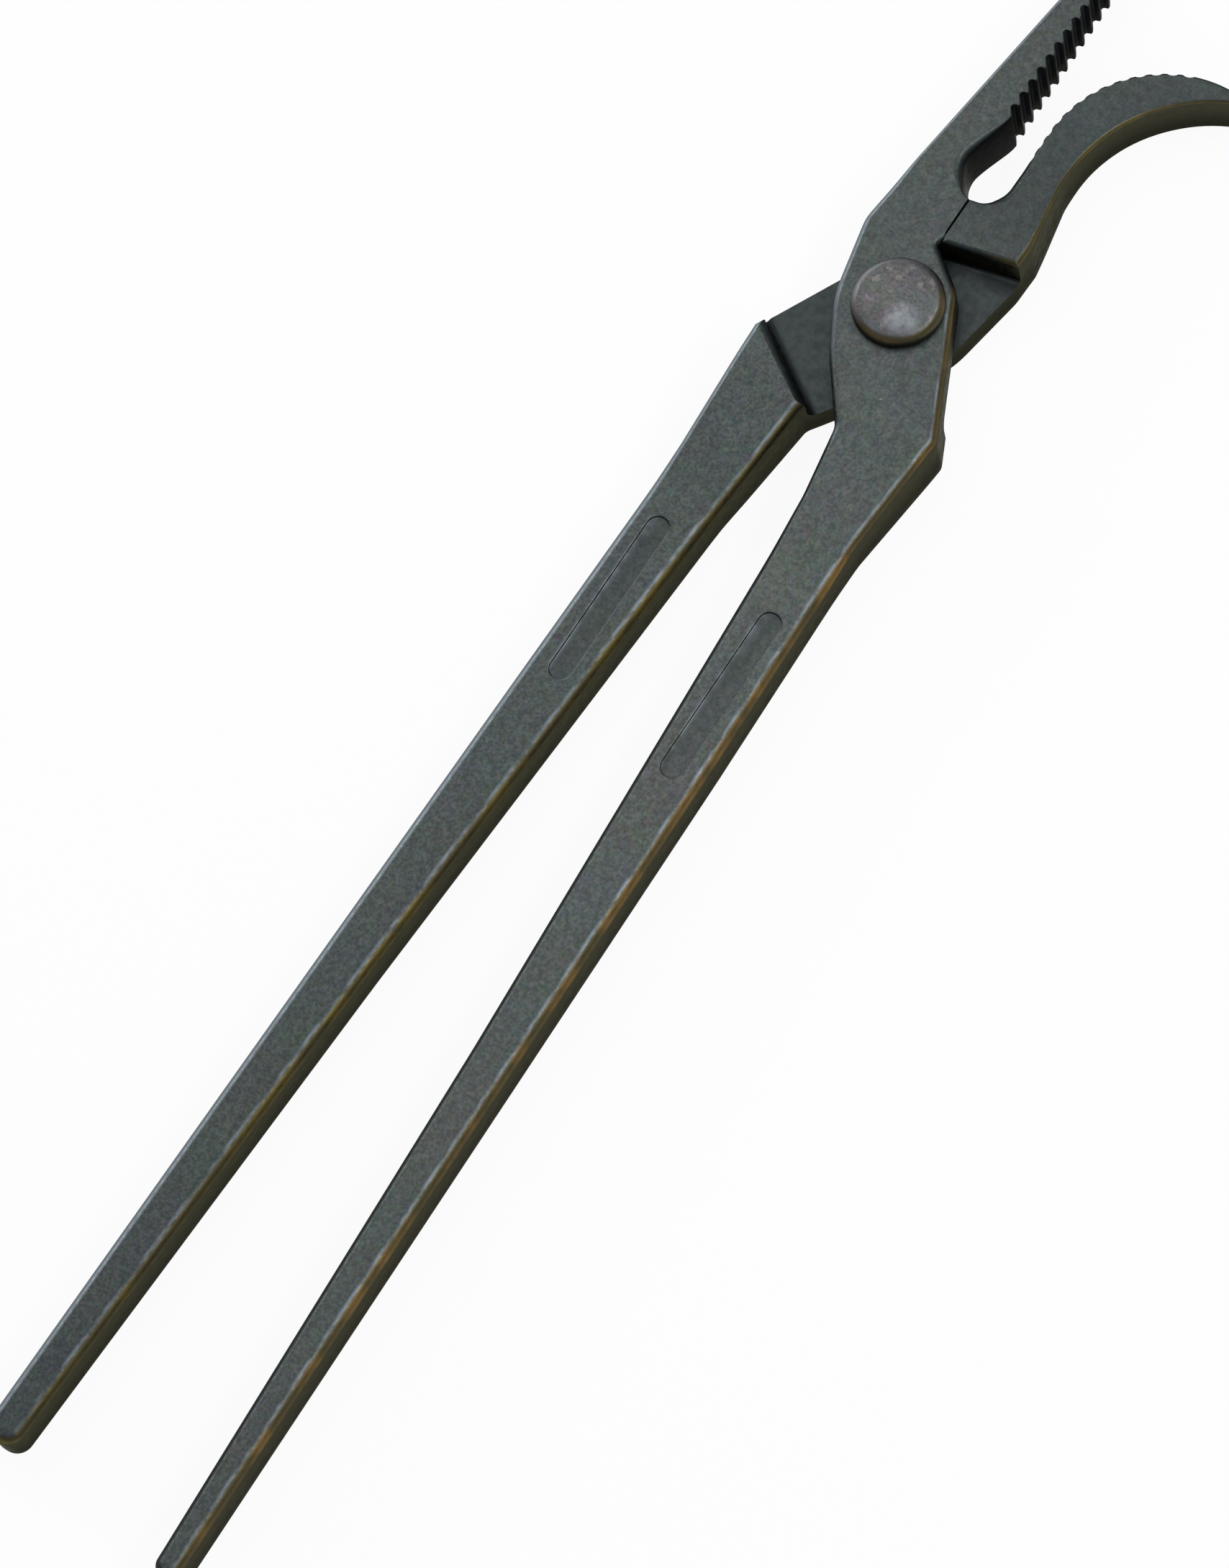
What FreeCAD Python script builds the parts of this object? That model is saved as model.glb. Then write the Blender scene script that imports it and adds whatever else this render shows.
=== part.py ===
"""Hoof clincher: two lap-jointed drop forgings on one rivet, modelled in millimetres.

The pivot axis is Z and stands on the origin. Z = 0 is the flat that the tool rests on.
The plans are drawn from the middle of the boss and are moved onto the pivot at the end.
The handles run towards -Y and the jaws towards +Y. The front lever is the upper forging:
straight toothed jaw on the left, handle on the right. The rear lever is the lower one:
handle on the left, goose-neck jaw on the right.
"""
import FreeCAD, Part
import math
import os

V = FreeCAD.Vector

# Thicknesses, all centred on the middle of the boss
boss_thickness = 15.0
handle_thickness = 10.6
straight_jaw_thickness = 11.8
beak_thickness = 11.2
thickness_blend_radius = 60.0

# Gaps between the pieces
lap_gap = 0.1
seam_gap = 0.3
shoulder_gap = 0.5
head_gap = 0.1
running_clearance = 0.05

# Rivet, and where it stands from the middle of the boss
pivot_x = 1.5
pivot_y = -1.6
shank_diameter = 10.0
head_diameter = 18.2
head_height = 3.7
head_rim_height = 1.5
head_chamfer = 1.5
tail_diameter = 13.0
tail_depth = 2.2

# Boss: two waisted bars that cross at the pivot, and the shoulders of the lap
front_waist_half_width = 11.2
front_waist_slant_deg = 25.6
rear_waist_half_width = 11.6
rear_waist_slant_deg = 27.9
waist_turn_y = 6.5
boss_end_y = 25.0
front_heel_x = 22.8
front_heel_radius = 2.5
rear_heel_x = 20.5
rear_heel_radius = 2.0
knee_lean_deg = 20.0
front_crotch_x = 4.2
rear_crotch_x = 3.6
crotch_y = 28.4
crotch_waist_x = 4.6
crotch_waist_y = 16.9
front_back_x = 10.8
front_back_y = 5.4
jaw_heel_x = 14.2
jaw_heel_y = 10.8
rear_back_x = 13.4
rear_back_y = 3.5
cheek_root_x = 16.7
cheek_root_y = 14.5
seam_x = 1.2
notch_y = 12.9
throat_y = 23.8
jaw_root_y = 21.8
jaw_shoulder_slope_deg = 12.0
jaw_shoulder_root_radius = 0.8
handle_shoulder_distance = 24.6
handle_shoulder_slope_deg = 34.2
handle_shoulder_root_radius = 2.4

# Throat: a round-bottomed hollow, its corners from the seam up each lever
front_foot_x = 0.7
front_foot_y = 24.3
front_hollow_x = 4.6
front_hollow_y = 30.8
rear_foot_x = 4.4
rear_foot_y = 24.4
rear_hollow_x = 6.35
rear_hollow_y = 29.0

# Handles
handle_root_y = 54.0
handle_belly_y = 97.0
front_neck_x = 20.5
front_neck_y = 47.0
front_neck_radius = 20.0
front_handle_reach = 277.0
front_handle_root_inner_x = 6.3
front_handle_root_inner_y = 43.0
front_handle_swell_x = 13.3
front_handle_belly_x = 21.5
front_handle_end_x = 20.75
front_handle_end_width = 5.2
rear_neck_x = 19.6
rear_neck_y = 46.0
rear_neck_radius = 30.0
rear_handle_reach = 272.9
rear_handle_root_inner_x = 5.8
rear_handle_root_inner_y = 54.0
rear_handle_swell_x = 11.4
rear_handle_belly_x = 20.5
rear_handle_end_x = 19.6
rear_handle_end_width = 7.3

# Straight jaw
straight_jaw_reach = 84.0
straight_jaw_tip_width = 4.1
tooth_line_x = -1.2

# Goose-neck jaw
neck_inner_x = 6.1
neck_outer_x = 14.7
cheek_x = 16.9
cheek_y = 21.0
beak_y = 68.9
beak_reach = 34.5
beak_tip_width = 1.9
inner_bend_radius = 24.9
outer_bend_radius = 30.3
beak_droop_deg = 20.9

# Teeth
tooth_pitch = 3.1
tooth_land = 0.3
saw_tooth_depth = 1.2
saw_tooth_root_share = 0.32
saw_tooth_root_radius = 0.35
saw_tooth_start_y = 42.5
saw_tooth_count = 13
round_tooth_depth = 0.55
round_tooth_start_y = 36.2
round_tooth_count = 13

# Plain panels sunk in the upper faces of the handles
panel_length = 37.5
panel_width = 4.6
panel_depth = 0.45
front_panel_middle_y = 84.4
rear_panel_middle_y = 79.0

# Rounding of the long edges
handle_round = 2.2
boss_round = 1.7
jaw_round = 1.0
beak_round = 0.7

middle_z = boss_thickness / 2
stock = 3.0
past = 5.0


def rounded_wire(corners, place=lambda a, b: V(a, b, 0)):
    """Closed wire through (a, b, radius) corners, each rounded by a tangent arc."""
    flat = [V(a, b, 0) for a, b, _ in corners]
    starts, middles, ends = [], [], []
    for i, (_, _, radius) in enumerate(corners):
        here = flat[i]
        back = (flat[i - 1] - here).normalize()
        ahead = (flat[(i + 1) % len(flat)] - here).normalize()
        inwards = (back + ahead).normalize()
        half_turn = (math.pi - back.getAngle(ahead)) / 2
        run = radius * math.tan(half_turn)
        starts.append(here + back * run)
        ends.append(here + ahead * run)
        middles.append(here + inwards * (radius / math.cos(half_turn) - radius))
    edges = []
    for i, (_, _, radius) in enumerate(corners):
        first, middle, last = (place(p.x, p.y) for p in (starts[i], middles[i], ends[i]))
        if radius > 0:
            edges.append(Part.Arc(first, middle, last).toShape())
        following = starts[(i + 1) % len(starts)]
        edges.append(Part.LineSegment(last, place(following.x, following.y)).toShape())
    return Part.Wire(edges)


def upright(corners, low_z, high_z):
    """Prism with upright walls on a plan outline."""
    face = Part.Face(rounded_wire(corners, lambda x, y: V(x, y, low_z)))
    return face.extrude(V(0, 0, high_z - low_z))


def thickness_band(thin_y, thin_thickness, jaw_reach, handle_reach):
    """Prism across the lever that holds its thickness from handle end to jaw tip."""
    half_width = 100.0
    upper = [
        (-handle_reach - past, handle_thickness / 2, 0),
        (-handle_root_y, handle_thickness / 2, thickness_blend_radius),
        (-boss_end_y, boss_thickness / 2, thickness_blend_radius),
        (jaw_root_y, boss_thickness / 2, thickness_blend_radius),
        (thin_y, thin_thickness / 2, thickness_blend_radius),
        (jaw_reach + past, thin_thickness / 2, 0),
    ]
    corners = [(y, middle_z + half, radius) for y, half, radius in upper]
    corners += [(y, middle_z - half, radius) for y, half, radius in reversed(upper)]
    face = Part.Face(rounded_wire(corners, lambda y, z: V(-half_width, y, z)))
    return face.extrude(V(2 * half_width, 0, 0))


def boss_side(half_width, slant_deg, heel_x, heel_radius):
    """Corners of the boss's slanted side, from above the waist to the heel."""
    slant = math.radians(slant_deg)
    turn_x = (half_width - waist_turn_y * math.sin(slant)) / math.cos(slant)
    heel_y = (half_width - heel_x * math.cos(slant)) / math.sin(slant)
    return [(turn_x, waist_turn_y, 7.0), (heel_x, heel_y, heel_radius)]


def handle_end(reach, end_x, end_width):
    """Corners of a handle's rounded end, outer one first."""
    end_round = 0.46 * end_width
    return [(end_x + end_width / 2, -reach, end_round), (end_x - end_width / 2, -reach, end_round)]


def front_outline():
    """Plan of the front lever as forged, with stock on the side where the teeth are cut."""
    notch_x = seam_x - seam_gap / 2
    swell_y = (handle_root_y + front_handle_reach) / 2
    corners = [
        (tooth_line_x - straight_jaw_tip_width, straight_jaw_reach, 2.0),
        (notch_x + stock, straight_jaw_reach, 2.0),
        (notch_x + stock, jaw_root_y, 6.0),
        (notch_x, notch_y, 1.0),
    ]
    corners += boss_side(
        front_waist_half_width, front_waist_slant_deg, front_heel_x, front_heel_radius
    )
    corners.append((front_neck_x, -front_neck_y, front_neck_radius))
    corners.append((front_handle_belly_x, -handle_belly_y, 300.0))
    corners += handle_end(front_handle_reach, front_handle_end_x, front_handle_end_width)
    corners += [
        (front_handle_swell_x, -swell_y, 400.0),
        (front_handle_root_inner_x, -front_handle_root_inner_y, 25.0),
        (front_crotch_x, -crotch_y, 4.0),
        (-crotch_waist_x, -crotch_waist_y, 25.0),
        (-front_back_x, -front_back_y, 25.0),
        (-jaw_heel_x, jaw_heel_y, 9.0),
    ]
    return corners


def rear_outline():
    """Plan of the rear lever as forged, with stock on the side where the teeth are cut."""
    notch_x = seam_x + seam_gap / 2
    droop = math.radians(beak_droop_deg)
    bend_run = outer_bend_radius * math.tan(math.radians(90 - beak_droop_deg) / 2)
    lower_tip_y = beak_y - beak_tip_width
    elbow_y = lower_tip_y - (beak_reach - neck_outer_x) * math.tan(droop)
    swell_y = (handle_root_y + rear_handle_reach) / 2
    left_side = boss_side(
        rear_waist_half_width, rear_waist_slant_deg, rear_heel_x, rear_heel_radius
    )
    left_side.append((rear_neck_x, -rear_neck_y, rear_neck_radius))
    left_side.append((rear_handle_belly_x, -handle_belly_y, 300.0))
    left_side += handle_end(rear_handle_reach, rear_handle_end_x, rear_handle_end_width)
    corners = [
        (notch_x - stock, beak_y + stock, 2.0),
        (beak_reach, beak_y + stock, 1.2),
        (beak_reach, lower_tip_y, 0.8),
        (neck_outer_x, elbow_y, outer_bend_radius),
        (neck_outer_x - 0.3, elbow_y - bend_run - 3.0, 12.0),
        (cheek_x, cheek_y, 5.0),
        (cheek_root_x, cheek_root_y, 12.0),
        (rear_back_x, -rear_back_y, 20.0),
        (crotch_waist_x, -crotch_waist_y, 25.0),
        (-rear_crotch_x, -crotch_y, 3.0),
        (-rear_handle_root_inner_x, -rear_handle_root_inner_y, 60.0),
        (-rear_handle_swell_x, -swell_y, 600.0),
    ]
    corners += [(-x, y, radius) for x, y, radius in reversed(left_side)]
    corners += [(notch_x, notch_y, 1.0), (notch_x - stock, jaw_root_y, 6.0)]
    return corners


def front_mouth():
    """Cutter for the seam, the throat and the flat that the saw teeth are cut into."""
    notch_x = seam_x - seam_gap / 2
    outside_x = notch_x + stock + past
    corners = [
        (notch_x, notch_y, 0),
        (outside_x, notch_y, 0),
        (outside_x, straight_jaw_reach + past, 0),
        (tooth_line_x, straight_jaw_reach + past, 0),
        (tooth_line_x, saw_tooth_start_y - tooth_land, 12.0),
        (-front_hollow_x, front_hollow_y, 6.0),
        (-front_foot_x, front_foot_y, 3.0),
        (notch_x, throat_y, 0),
    ]
    return upright(corners, -past, boss_thickness + past)


def rear_mouth():
    """Cutter for the seam, the throat and the bend that the rounded teeth are cut into."""
    notch_x = seam_x + seam_gap / 2
    outside_x = notch_x - stock - past
    outside_y = beak_y + stock + past
    corners = [
        (notch_x, notch_y, 0),
        (notch_x, throat_y, 0),
        (rear_foot_x, rear_foot_y, 3.0),
        (rear_hollow_x, rear_hollow_y, 6.0),
        (neck_inner_x, beak_y, inner_bend_radius),
        (beak_reach + past, beak_y, 0),
        (beak_reach + past, outside_y, 0),
        (outside_x, outside_y, 0),
        (outside_x, notch_y, 0),
    ]
    return upright(corners, -past, boss_thickness + past)


def cap_edges(solid):
    """Numbers of the edges where an upright wall meets an upper or lower face."""
    found = []
    for number, edge in enumerate(solid.Edges, 1):
        middle = edge.valueAt((edge.FirstParameter + edge.LastParameter) / 2)
        lifts = []
        for face in solid.ancestorsOfType(edge, Part.Face):
            u, v = face.Surface.parameter(middle)
            lifts.append(abs(face.normalAt(u, v).z))
        if len(lifts) == 2 and min(lifts) < 0.1 and max(lifts) > 0.7:
            found.append((number, middle))
    return found


def rounded(solid):
    """The solid with its long upper and lower edges rounded."""
    document = FreeCAD.newDocument("rounding")
    base = document.addObject("Part::Feature", "base")
    base.Shape = solid
    fillet = document.addObject("Part::Fillet", "fillet")
    fillet.Base = base
    fillet.Edges = [
        (number, edge_radius(place), edge_radius(place)) for number, place in cap_edges(solid)
    ]
    document.recompute()
    result = fillet.Shape.copy()
    FreeCAD.closeDocument(document.Name)
    return result


def edge_radius(place):
    """Rounding that the long edges have at a place on either lever."""
    if place.y < -handle_root_y:
        return handle_round
    if place.y < jaw_root_y + 0.2:
        return boss_round
    if place.x < neck_outer_x + past:
        return jaw_round
    return beak_round


def lap_void(side, notch_x, low_z, high_z):
    """Space that a lever leaves for the other one's boss, between its two shoulders.

    side is 1 where the jaw lies towards -X and the handle towards +X.
    """
    jaw_slope = math.tan(math.radians(jaw_shoulder_slope_deg))
    handle_slope = math.radians(handle_shoulder_slope_deg)
    reach = 45.0
    wall_y = notch_y + shoulder_gap
    far_y = wall_y + reach * jaw_slope
    inner_y = -(handle_shoulder_distance + reach * math.sin(handle_slope)) / math.cos(handle_slope)
    outer_y = -(handle_shoulder_distance - reach * math.sin(handle_slope)) / math.cos(handle_slope)
    plan = [
        (side * reach, wall_y, 0),
        (notch_x, wall_y, 0),
        (notch_x - side * reach, far_y, 0),
        (-side * reach, inner_y, 0),
        (side * reach, outer_y, 0),
    ]
    void = upright(plan, low_z, high_z)
    lap_z = low_z if low_z > 0 else high_z
    roots = [
        ((notch_x - side * reach / 2, (wall_y + far_y) / 2), jaw_shoulder_root_radius),
        ((0.0, (inner_y + outer_y) / 2), handle_shoulder_root_radius),
    ]
    for (x, y), radius in roots:
        root = min(void.Edges, key=lambda edge: (edge.CenterOfMass - V(x, y, lap_z)).Length)
        void = void.makeFillet(radius, [root])
    return void


def leaning_knee():
    """Cutter that leans the rear lever's knee inwards above the lap, its upper edge rounded."""
    slant = math.radians(rear_waist_slant_deg)
    lean = math.radians(knee_lean_deg)
    outwards = V(-math.cos(slant), math.sin(slant), 0)
    foot = outwards * rear_waist_half_width + V(0, 0, middle_z)

    def at(out, lift):
        """Point of the profile that is so far out of the side and above the lap."""
        return foot + outwards * out + V(0, 0, lift)

    up = (middle_z - boss_round + boss_round * math.sin(lean)) / math.cos(lean)
    centre_out = -up * math.sin(lean) - boss_round * math.cos(lean)
    half_turn = (math.pi / 2 + lean) / 2
    bend = at(
        centre_out + boss_round * math.cos(half_turn),
        middle_z - boss_round + boss_round * math.sin(half_turn),
    )
    bend_ends = [at(-up * math.sin(lean), up * math.cos(lean)), at(centre_out, middle_z)]
    corners = [bend_ends[1], at(centre_out, middle_z + past), at(stock, middle_z + past)]
    corners += [at(stock, 0), foot, bend_ends[0]]
    edges = [Part.LineSegment(a, b).toShape() for a, b in zip(corners, corners[1:])]
    edges.append(Part.Arc(bend_ends[0], bend, bend_ends[1]).toShape())
    along = V(-math.sin(slant), -math.cos(slant), 0)
    return Part.Face(Part.Wire(edges)).extrude(along * 40.0)


def saw_tooth_gullets():
    """Cutters for the straight jaw: hooked teeth whose points lean back to the pivot."""
    gullets = []
    for i in range(saw_tooth_count):
        low_y = saw_tooth_start_y + i * tooth_pitch
        high_y = low_y + tooth_pitch - tooth_land
        root_y = high_y - saw_tooth_root_share * (high_y - low_y)
        gullet = [
            (tooth_line_x + past, low_y, 0),
            (tooth_line_x + past, high_y, 0),
            (tooth_line_x, high_y, 0),
            (tooth_line_x - saw_tooth_depth, root_y, saw_tooth_root_radius),
            (tooth_line_x, low_y, 0),
        ]
        gullets.append(upright(gullet, -past, boss_thickness + past))
    return gullets


def round_tooth_gullets():
    """Cutters for the goose-neck jaw: shallow scallops up the neck and round the bend."""
    chord = tooth_pitch - tooth_land
    radius = (chord ** 2 / 4 + round_tooth_depth ** 2) / (2 * round_tooth_depth)
    bend_y = beak_y - inner_bend_radius
    gullets = []
    for i in range(round_tooth_count):
        along = round_tooth_start_y + (i + 0.5) * tooth_pitch - bend_y
        turn = max(along, 0.0) / inner_bend_radius
        outwards = V(-math.cos(turn), math.sin(turn), 0)
        centre = V(neck_inner_x + inner_bend_radius, bend_y + min(along, 0.0), -past)
        axis_at = centre + outwards * (inner_bend_radius + radius - round_tooth_depth)
        gullets.append(Part.makeCylinder(radius, boss_thickness + 2 * past, axis_at))
    return gullets


def sunk_panel(side, middle_y, inner_x, inner_y, swell_x, belly_x, reach):
    """Cutter for the plain round-ended panel in a handle's upper face."""
    share = (middle_y - inner_y) / ((handle_root_y + reach) / 2 - inner_y)
    middle_x = (inner_x + share * (swell_x - inner_x) + belly_x) / 2
    half = panel_width / 2
    floor_z = middle_z + handle_thickness / 2 - panel_depth
    plan = [
        (side * middle_x - half, -middle_y - panel_length / 2, 0.98 * half),
        (side * middle_x + half, -middle_y - panel_length / 2, 0.98 * half),
        (side * middle_x + half, -middle_y + panel_length / 2, 0.98 * half),
        (side * middle_x - half, -middle_y + panel_length / 2, 0.98 * half),
    ]
    return upright(plan, floor_z, boss_thickness + past)


def bore(radius):
    """Cutter for a hole on the pivot axis."""
    return Part.makeCylinder(radius, boss_thickness + 2 * past, V(pivot_x, pivot_y, -past))


def onto_pivot(shape):
    """The shape moved so that the pivot axis stands on the origin."""
    return shape.translated(V(-pivot_x, -pivot_y, 0))


def front_lever():
    """Upper forging with the straight saw-toothed jaw."""
    blank = upright(front_outline(), 0, boss_thickness)
    thin_y = straight_jaw_reach - 2 * straight_jaw_tip_width
    band = thickness_band(thin_y, straight_jaw_thickness, straight_jaw_reach, front_handle_reach)
    forged = rounded(blank.common(band).Solids[0])
    lap_z = middle_z + lap_gap / 2
    cutters = [front_mouth()] + saw_tooth_gullets()
    cutters.append(lap_void(1, seam_x - seam_gap / 2, -past, lap_z))
    cutters.append(bore(shank_diameter / 2 + running_clearance))
    cutters.append(
        sunk_panel(
            1,
            front_panel_middle_y,
            front_handle_root_inner_x,
            front_handle_root_inner_y,
            front_handle_swell_x,
            front_handle_belly_x,
            front_handle_reach,
        )
    )
    return onto_pivot(forged.cut(cutters))


def rear_lever():
    """Lower forging with the goose-neck jaw of rounded teeth."""
    blank = upright(rear_outline(), 0, boss_thickness)
    thin_y = beak_y - inner_bend_radius
    band = thickness_band(thin_y, beak_thickness, beak_y, rear_handle_reach)
    forged = rounded(blank.common(band).Solids[0])
    lap_z = middle_z - lap_gap / 2
    cutters = [rear_mouth(), leaning_knee()] + round_tooth_gullets()
    cutters.append(lap_void(-1, seam_x + seam_gap / 2, lap_z, boss_thickness + past))
    cutters.append(bore(shank_diameter / 2))
    cutters.append(
        sunk_panel(
            -1,
            rear_panel_middle_y,
            rear_handle_root_inner_x,
            rear_handle_root_inner_y,
            rear_handle_swell_x,
            rear_handle_belly_x,
            rear_handle_reach,
        )
    )
    tail_at = V(pivot_x, pivot_y, 0)
    cutters.append(Part.makeCone(tail_diameter / 2, shank_diameter / 2, tail_depth, tail_at))
    return onto_pivot(forged.cut(cutters))


def pivot_rivet():
    """Rivet with a low domed head, its tail peened flush into the rear lever."""
    shank = shank_diameter / 2
    tail = tail_diameter / 2
    head = head_diameter / 2
    seat_z = boss_thickness + head_gap
    rim_z = seat_z + head_rim_height
    shoulder = V(head - head_chamfer, 0, rim_z + head_chamfer)
    crown = V(0, 0, seat_z + head_height)
    rise = crown.z - shoulder.z
    points = [V(0, 0, 0), V(tail, 0, 0), V(shank, 0, tail_depth), V(shank, 0, seat_z)]
    points += [V(head, 0, seat_z), V(head, 0, rim_z), shoulder]
    # The crown is so flat that three cones follow its dome to within 0.03 mm
    points += [V(shoulder.x * out, 0, crown.z - rise * out ** 2) for out in (0.7, 0.35)]
    face = Part.Face(Part.makePolygon(points + [crown, points[0]]))
    return face.revolve(V(0, 0, 0), V(0, 0, 1), 360)


def main():
    """Builds each piece and writes it as its own STEP file."""
    os.makedirs("parts", exist_ok=True)
    pieces = {
        "front_lever": front_lever(),
        "rear_lever": rear_lever(),
        "pivot_rivet": pivot_rivet(),
    }
    for name, shape in pieces.items():
        solid = shape.Solids[0]
        print(name, "solids", len(shape.Solids), "valid", shape.isValid(), "volume", round(solid.Volume))
        solid.exportStep(f"parts/{name}.step")


main()
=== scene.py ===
"""Hoof clincher: two drop-forged levers on one headed rivet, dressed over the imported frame.

Sizes are in millimetres. The levers are drawn from the middle of the boss, as they are forged,
and every mesh is moved onto the pivot and scaled to metres as its last step.
"""
import bisect
import logging
import math
from dataclasses import dataclass, field
from enum import Enum
from typing import Callable

import bmesh
import bpy
from mathutils import Matrix, Vector, kdtree
from mathutils.geometry import delaunay_2d_cdt


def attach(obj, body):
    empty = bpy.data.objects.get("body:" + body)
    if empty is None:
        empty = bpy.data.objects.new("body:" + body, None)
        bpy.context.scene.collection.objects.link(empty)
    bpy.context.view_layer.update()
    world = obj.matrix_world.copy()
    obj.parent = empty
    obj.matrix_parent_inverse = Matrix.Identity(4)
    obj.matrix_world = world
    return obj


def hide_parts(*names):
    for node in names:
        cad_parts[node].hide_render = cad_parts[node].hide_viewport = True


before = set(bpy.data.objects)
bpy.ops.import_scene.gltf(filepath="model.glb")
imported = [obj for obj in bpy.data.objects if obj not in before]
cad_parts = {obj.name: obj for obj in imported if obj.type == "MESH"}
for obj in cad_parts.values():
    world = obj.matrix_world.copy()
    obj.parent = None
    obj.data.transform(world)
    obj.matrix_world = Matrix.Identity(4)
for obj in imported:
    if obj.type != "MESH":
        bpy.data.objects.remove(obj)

log = logging.getLogger("clincher")

MM = 0.001
# A cutter reaches this far past what it cuts, and a blank carries this much to be cut away.
PAST = 5.0
STOCK = 3.0

Corner = tuple[float, float, float]
Point = tuple[float, float]
Socket = bpy.types.NodeSocket


class Side(Enum):
    """Which way a lever's handle lies from the pivot; the jaw lies the other way."""

    RIGHT = 1
    LEFT = -1


class Pattern(Enum):
    """The noises of a finish, each with its own seed."""

    GRAIN = 1
    MOTTLE = 7
    CLOUD = 19
    SPECKS = 31
    SPOT = 37
    RUST = 43
    HIGHLIGHT_BREAKUP = 47
    GLOSS = 53
    PITS = 61
    SWELL = 71


def linear(hex_colour: str) -> tuple[float, float, float, float]:
    """Turns an sRGB hex colour into the linear colour that a node takes.

    Args:
        hex_colour: Six hex digits, such as "50545a".

    Returns:
        Linear red, green, blue and an alpha of one.
    """
    channels = [int(hex_colour[i:i + 2], 16) / 255 for i in (0, 2, 4)]
    lit = [c / 12.92 if c <= 0.04045 else ((c + 0.055) / 1.055) ** 2.4 for c in channels]
    return (lit[0], lit[1], lit[2], 1.0)


def rounded_path(corners: list[Corner], step: float, turn_deg: float = 7.0) -> list[Point]:
    """Follows a closed line through corners that are rounded by tangent arcs.

    Args:
        corners: Corner points with the radius of the arc at each.
        step: Longest distance between two points.
        turn_deg: Widest turn between two points of an arc.

    Returns:
        Points along the line, without repeating the first one.
    """
    flat = [Vector((x, y)) for x, y, _ in corners]
    points: list[Vector] = []
    count = len(corners)
    for i, (_, _, radius) in enumerate(corners):
        here = flat[i]
        back = (flat[i - 1] - here).normalized()
        ahead = (flat[(i + 1) % count] - here).normalized()
        if radius <= 0:
            points.append(here)
            continue
        half_turn = (math.pi - back.angle(ahead)) / 2
        run = radius * math.tan(half_turn)
        start = here + back * run
        centre = here + (back + ahead).normalized() * (radius / math.cos(half_turn))
        spoke = start - centre
        pieces = max(2, math.ceil(2 * half_turn / math.radians(turn_deg)))
        pieces = max(pieces, math.ceil(2 * half_turn * radius / step))
        sign = 1.0 if (-back).cross(ahead) > 0 else -1.0
        for k in range(pieces + 1):
            angle = sign * 2 * half_turn * k / pieces
            points.append(centre + Matrix.Rotation(angle, 2) @ spoke)
    filled: list[Point] = []
    for i, point in enumerate(points):
        following = points[(i + 1) % len(points)]
        gap = (following - point).length
        if gap < 1e-4:
            continue
        pieces = max(1, math.ceil(gap / step))
        filled += [tuple(point.lerp(following, k / pieces)) for k in range(pieces)]
    return filled


def area(points: list[Point]) -> float:
    """Signed area of a closed outline, positive when it runs anticlockwise."""
    shifted = points[1:] + points[:1]
    return sum(a[0] * b[1] - b[0] * a[1] for a, b in zip(points, shifted)) / 2


def anticlockwise(points: list) -> list:
    """The same closed outline, running anticlockwise."""
    return points if area(points) > 0 else points[::-1]


def circle(x: float, y: float, radius: float, count: int = 72) -> list[Point]:
    """Points of an anticlockwise circle."""
    turns = [math.tau * k / count for k in range(count)]
    return [(x + radius * math.cos(turn), y + radius * math.sin(turn)) for turn in turns]


def outward(points: list[Point]) -> list[Vector]:
    """Outward directions at the points of a closed anticlockwise outline."""
    found = []
    for i, point in enumerate(points):
        before = Vector(point) - Vector(points[i - 1])
        after = Vector(points[(i + 1) % len(points)]) - Vector(point)
        run = before.normalized() + after.normalized()
        found.append(Vector((run.y, -run.x)).normalized())
    return found


def blended(x: float, low: float, high: float) -> float:
    """Smooth rise from 0 at low to 1 at high."""
    share = min(1.0, max(0.0, (x - low) / (high - low)))
    return share * share * (3 - 2 * share)


def inside(x: float, y: float, outline: list[Point]) -> bool:
    """Whether a point lies inside a closed outline."""
    hit = False
    for (ax, ay), (bx, by) in zip(outline, outline[1:] + outline[:1]):
        if (ay > y) != (by > y) and x < ax + (y - ay) * (bx - ax) / (by - ay):
            hit = not hit
    return hit


def mesh_object(name: str, vertices: list, faces: list) -> bpy.types.Object:
    """Makes a scene object of plain mesh data.

    Args:
        name: Name of the object and its mesh.
        vertices: Points of the mesh.
        faces: Vertex numbers of each face, seen from outside anticlockwise.

    Returns:
        The new object, linked to the scene.
    """
    mesh = bpy.data.meshes.new(name)
    mesh.from_pydata(vertices, [], faces)
    mesh.validate()
    made = bpy.data.objects.new(name, mesh)
    bpy.context.scene.collection.objects.link(made)
    return made


def stacked(name: str, layers: list[list[tuple[float, float, float]]]) -> bpy.types.Object:
    """Makes a closed solid from layers with the same number of points.

    Args:
        name: Name of the object.
        layers: Closed rings from the lowest to the highest, each anticlockwise from above.

    Returns:
        The solid as a scene object.
    """
    count = len(layers[0])
    vertices = [point for layer in layers for point in layer]
    faces = [tuple(reversed(range(count)))]
    for level in range(len(layers) - 1):
        low, high = level * count, (level + 1) * count
        for i in range(count):
            j = (i + 1) % count
            faces.append((low + i, low + j, high + j, high + i))
    faces.append(tuple((len(layers) - 1) * count + i for i in range(count)))
    return mesh_object(name, vertices, faces)


def prism(name: str, outline: list[Point], low: float, high: float) -> bpy.types.Object:
    """Makes an upright solid on an outline.

    Args:
        name: Name of the object.
        outline: Closed outline, in either direction.
        low: Height of its floor.
        high: Height of its top.

    Returns:
        The solid as a scene object.
    """
    ring = anticlockwise(outline)
    return stacked(name, [[(x, y, z) for x, y in ring] for z in (low, high)])


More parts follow.
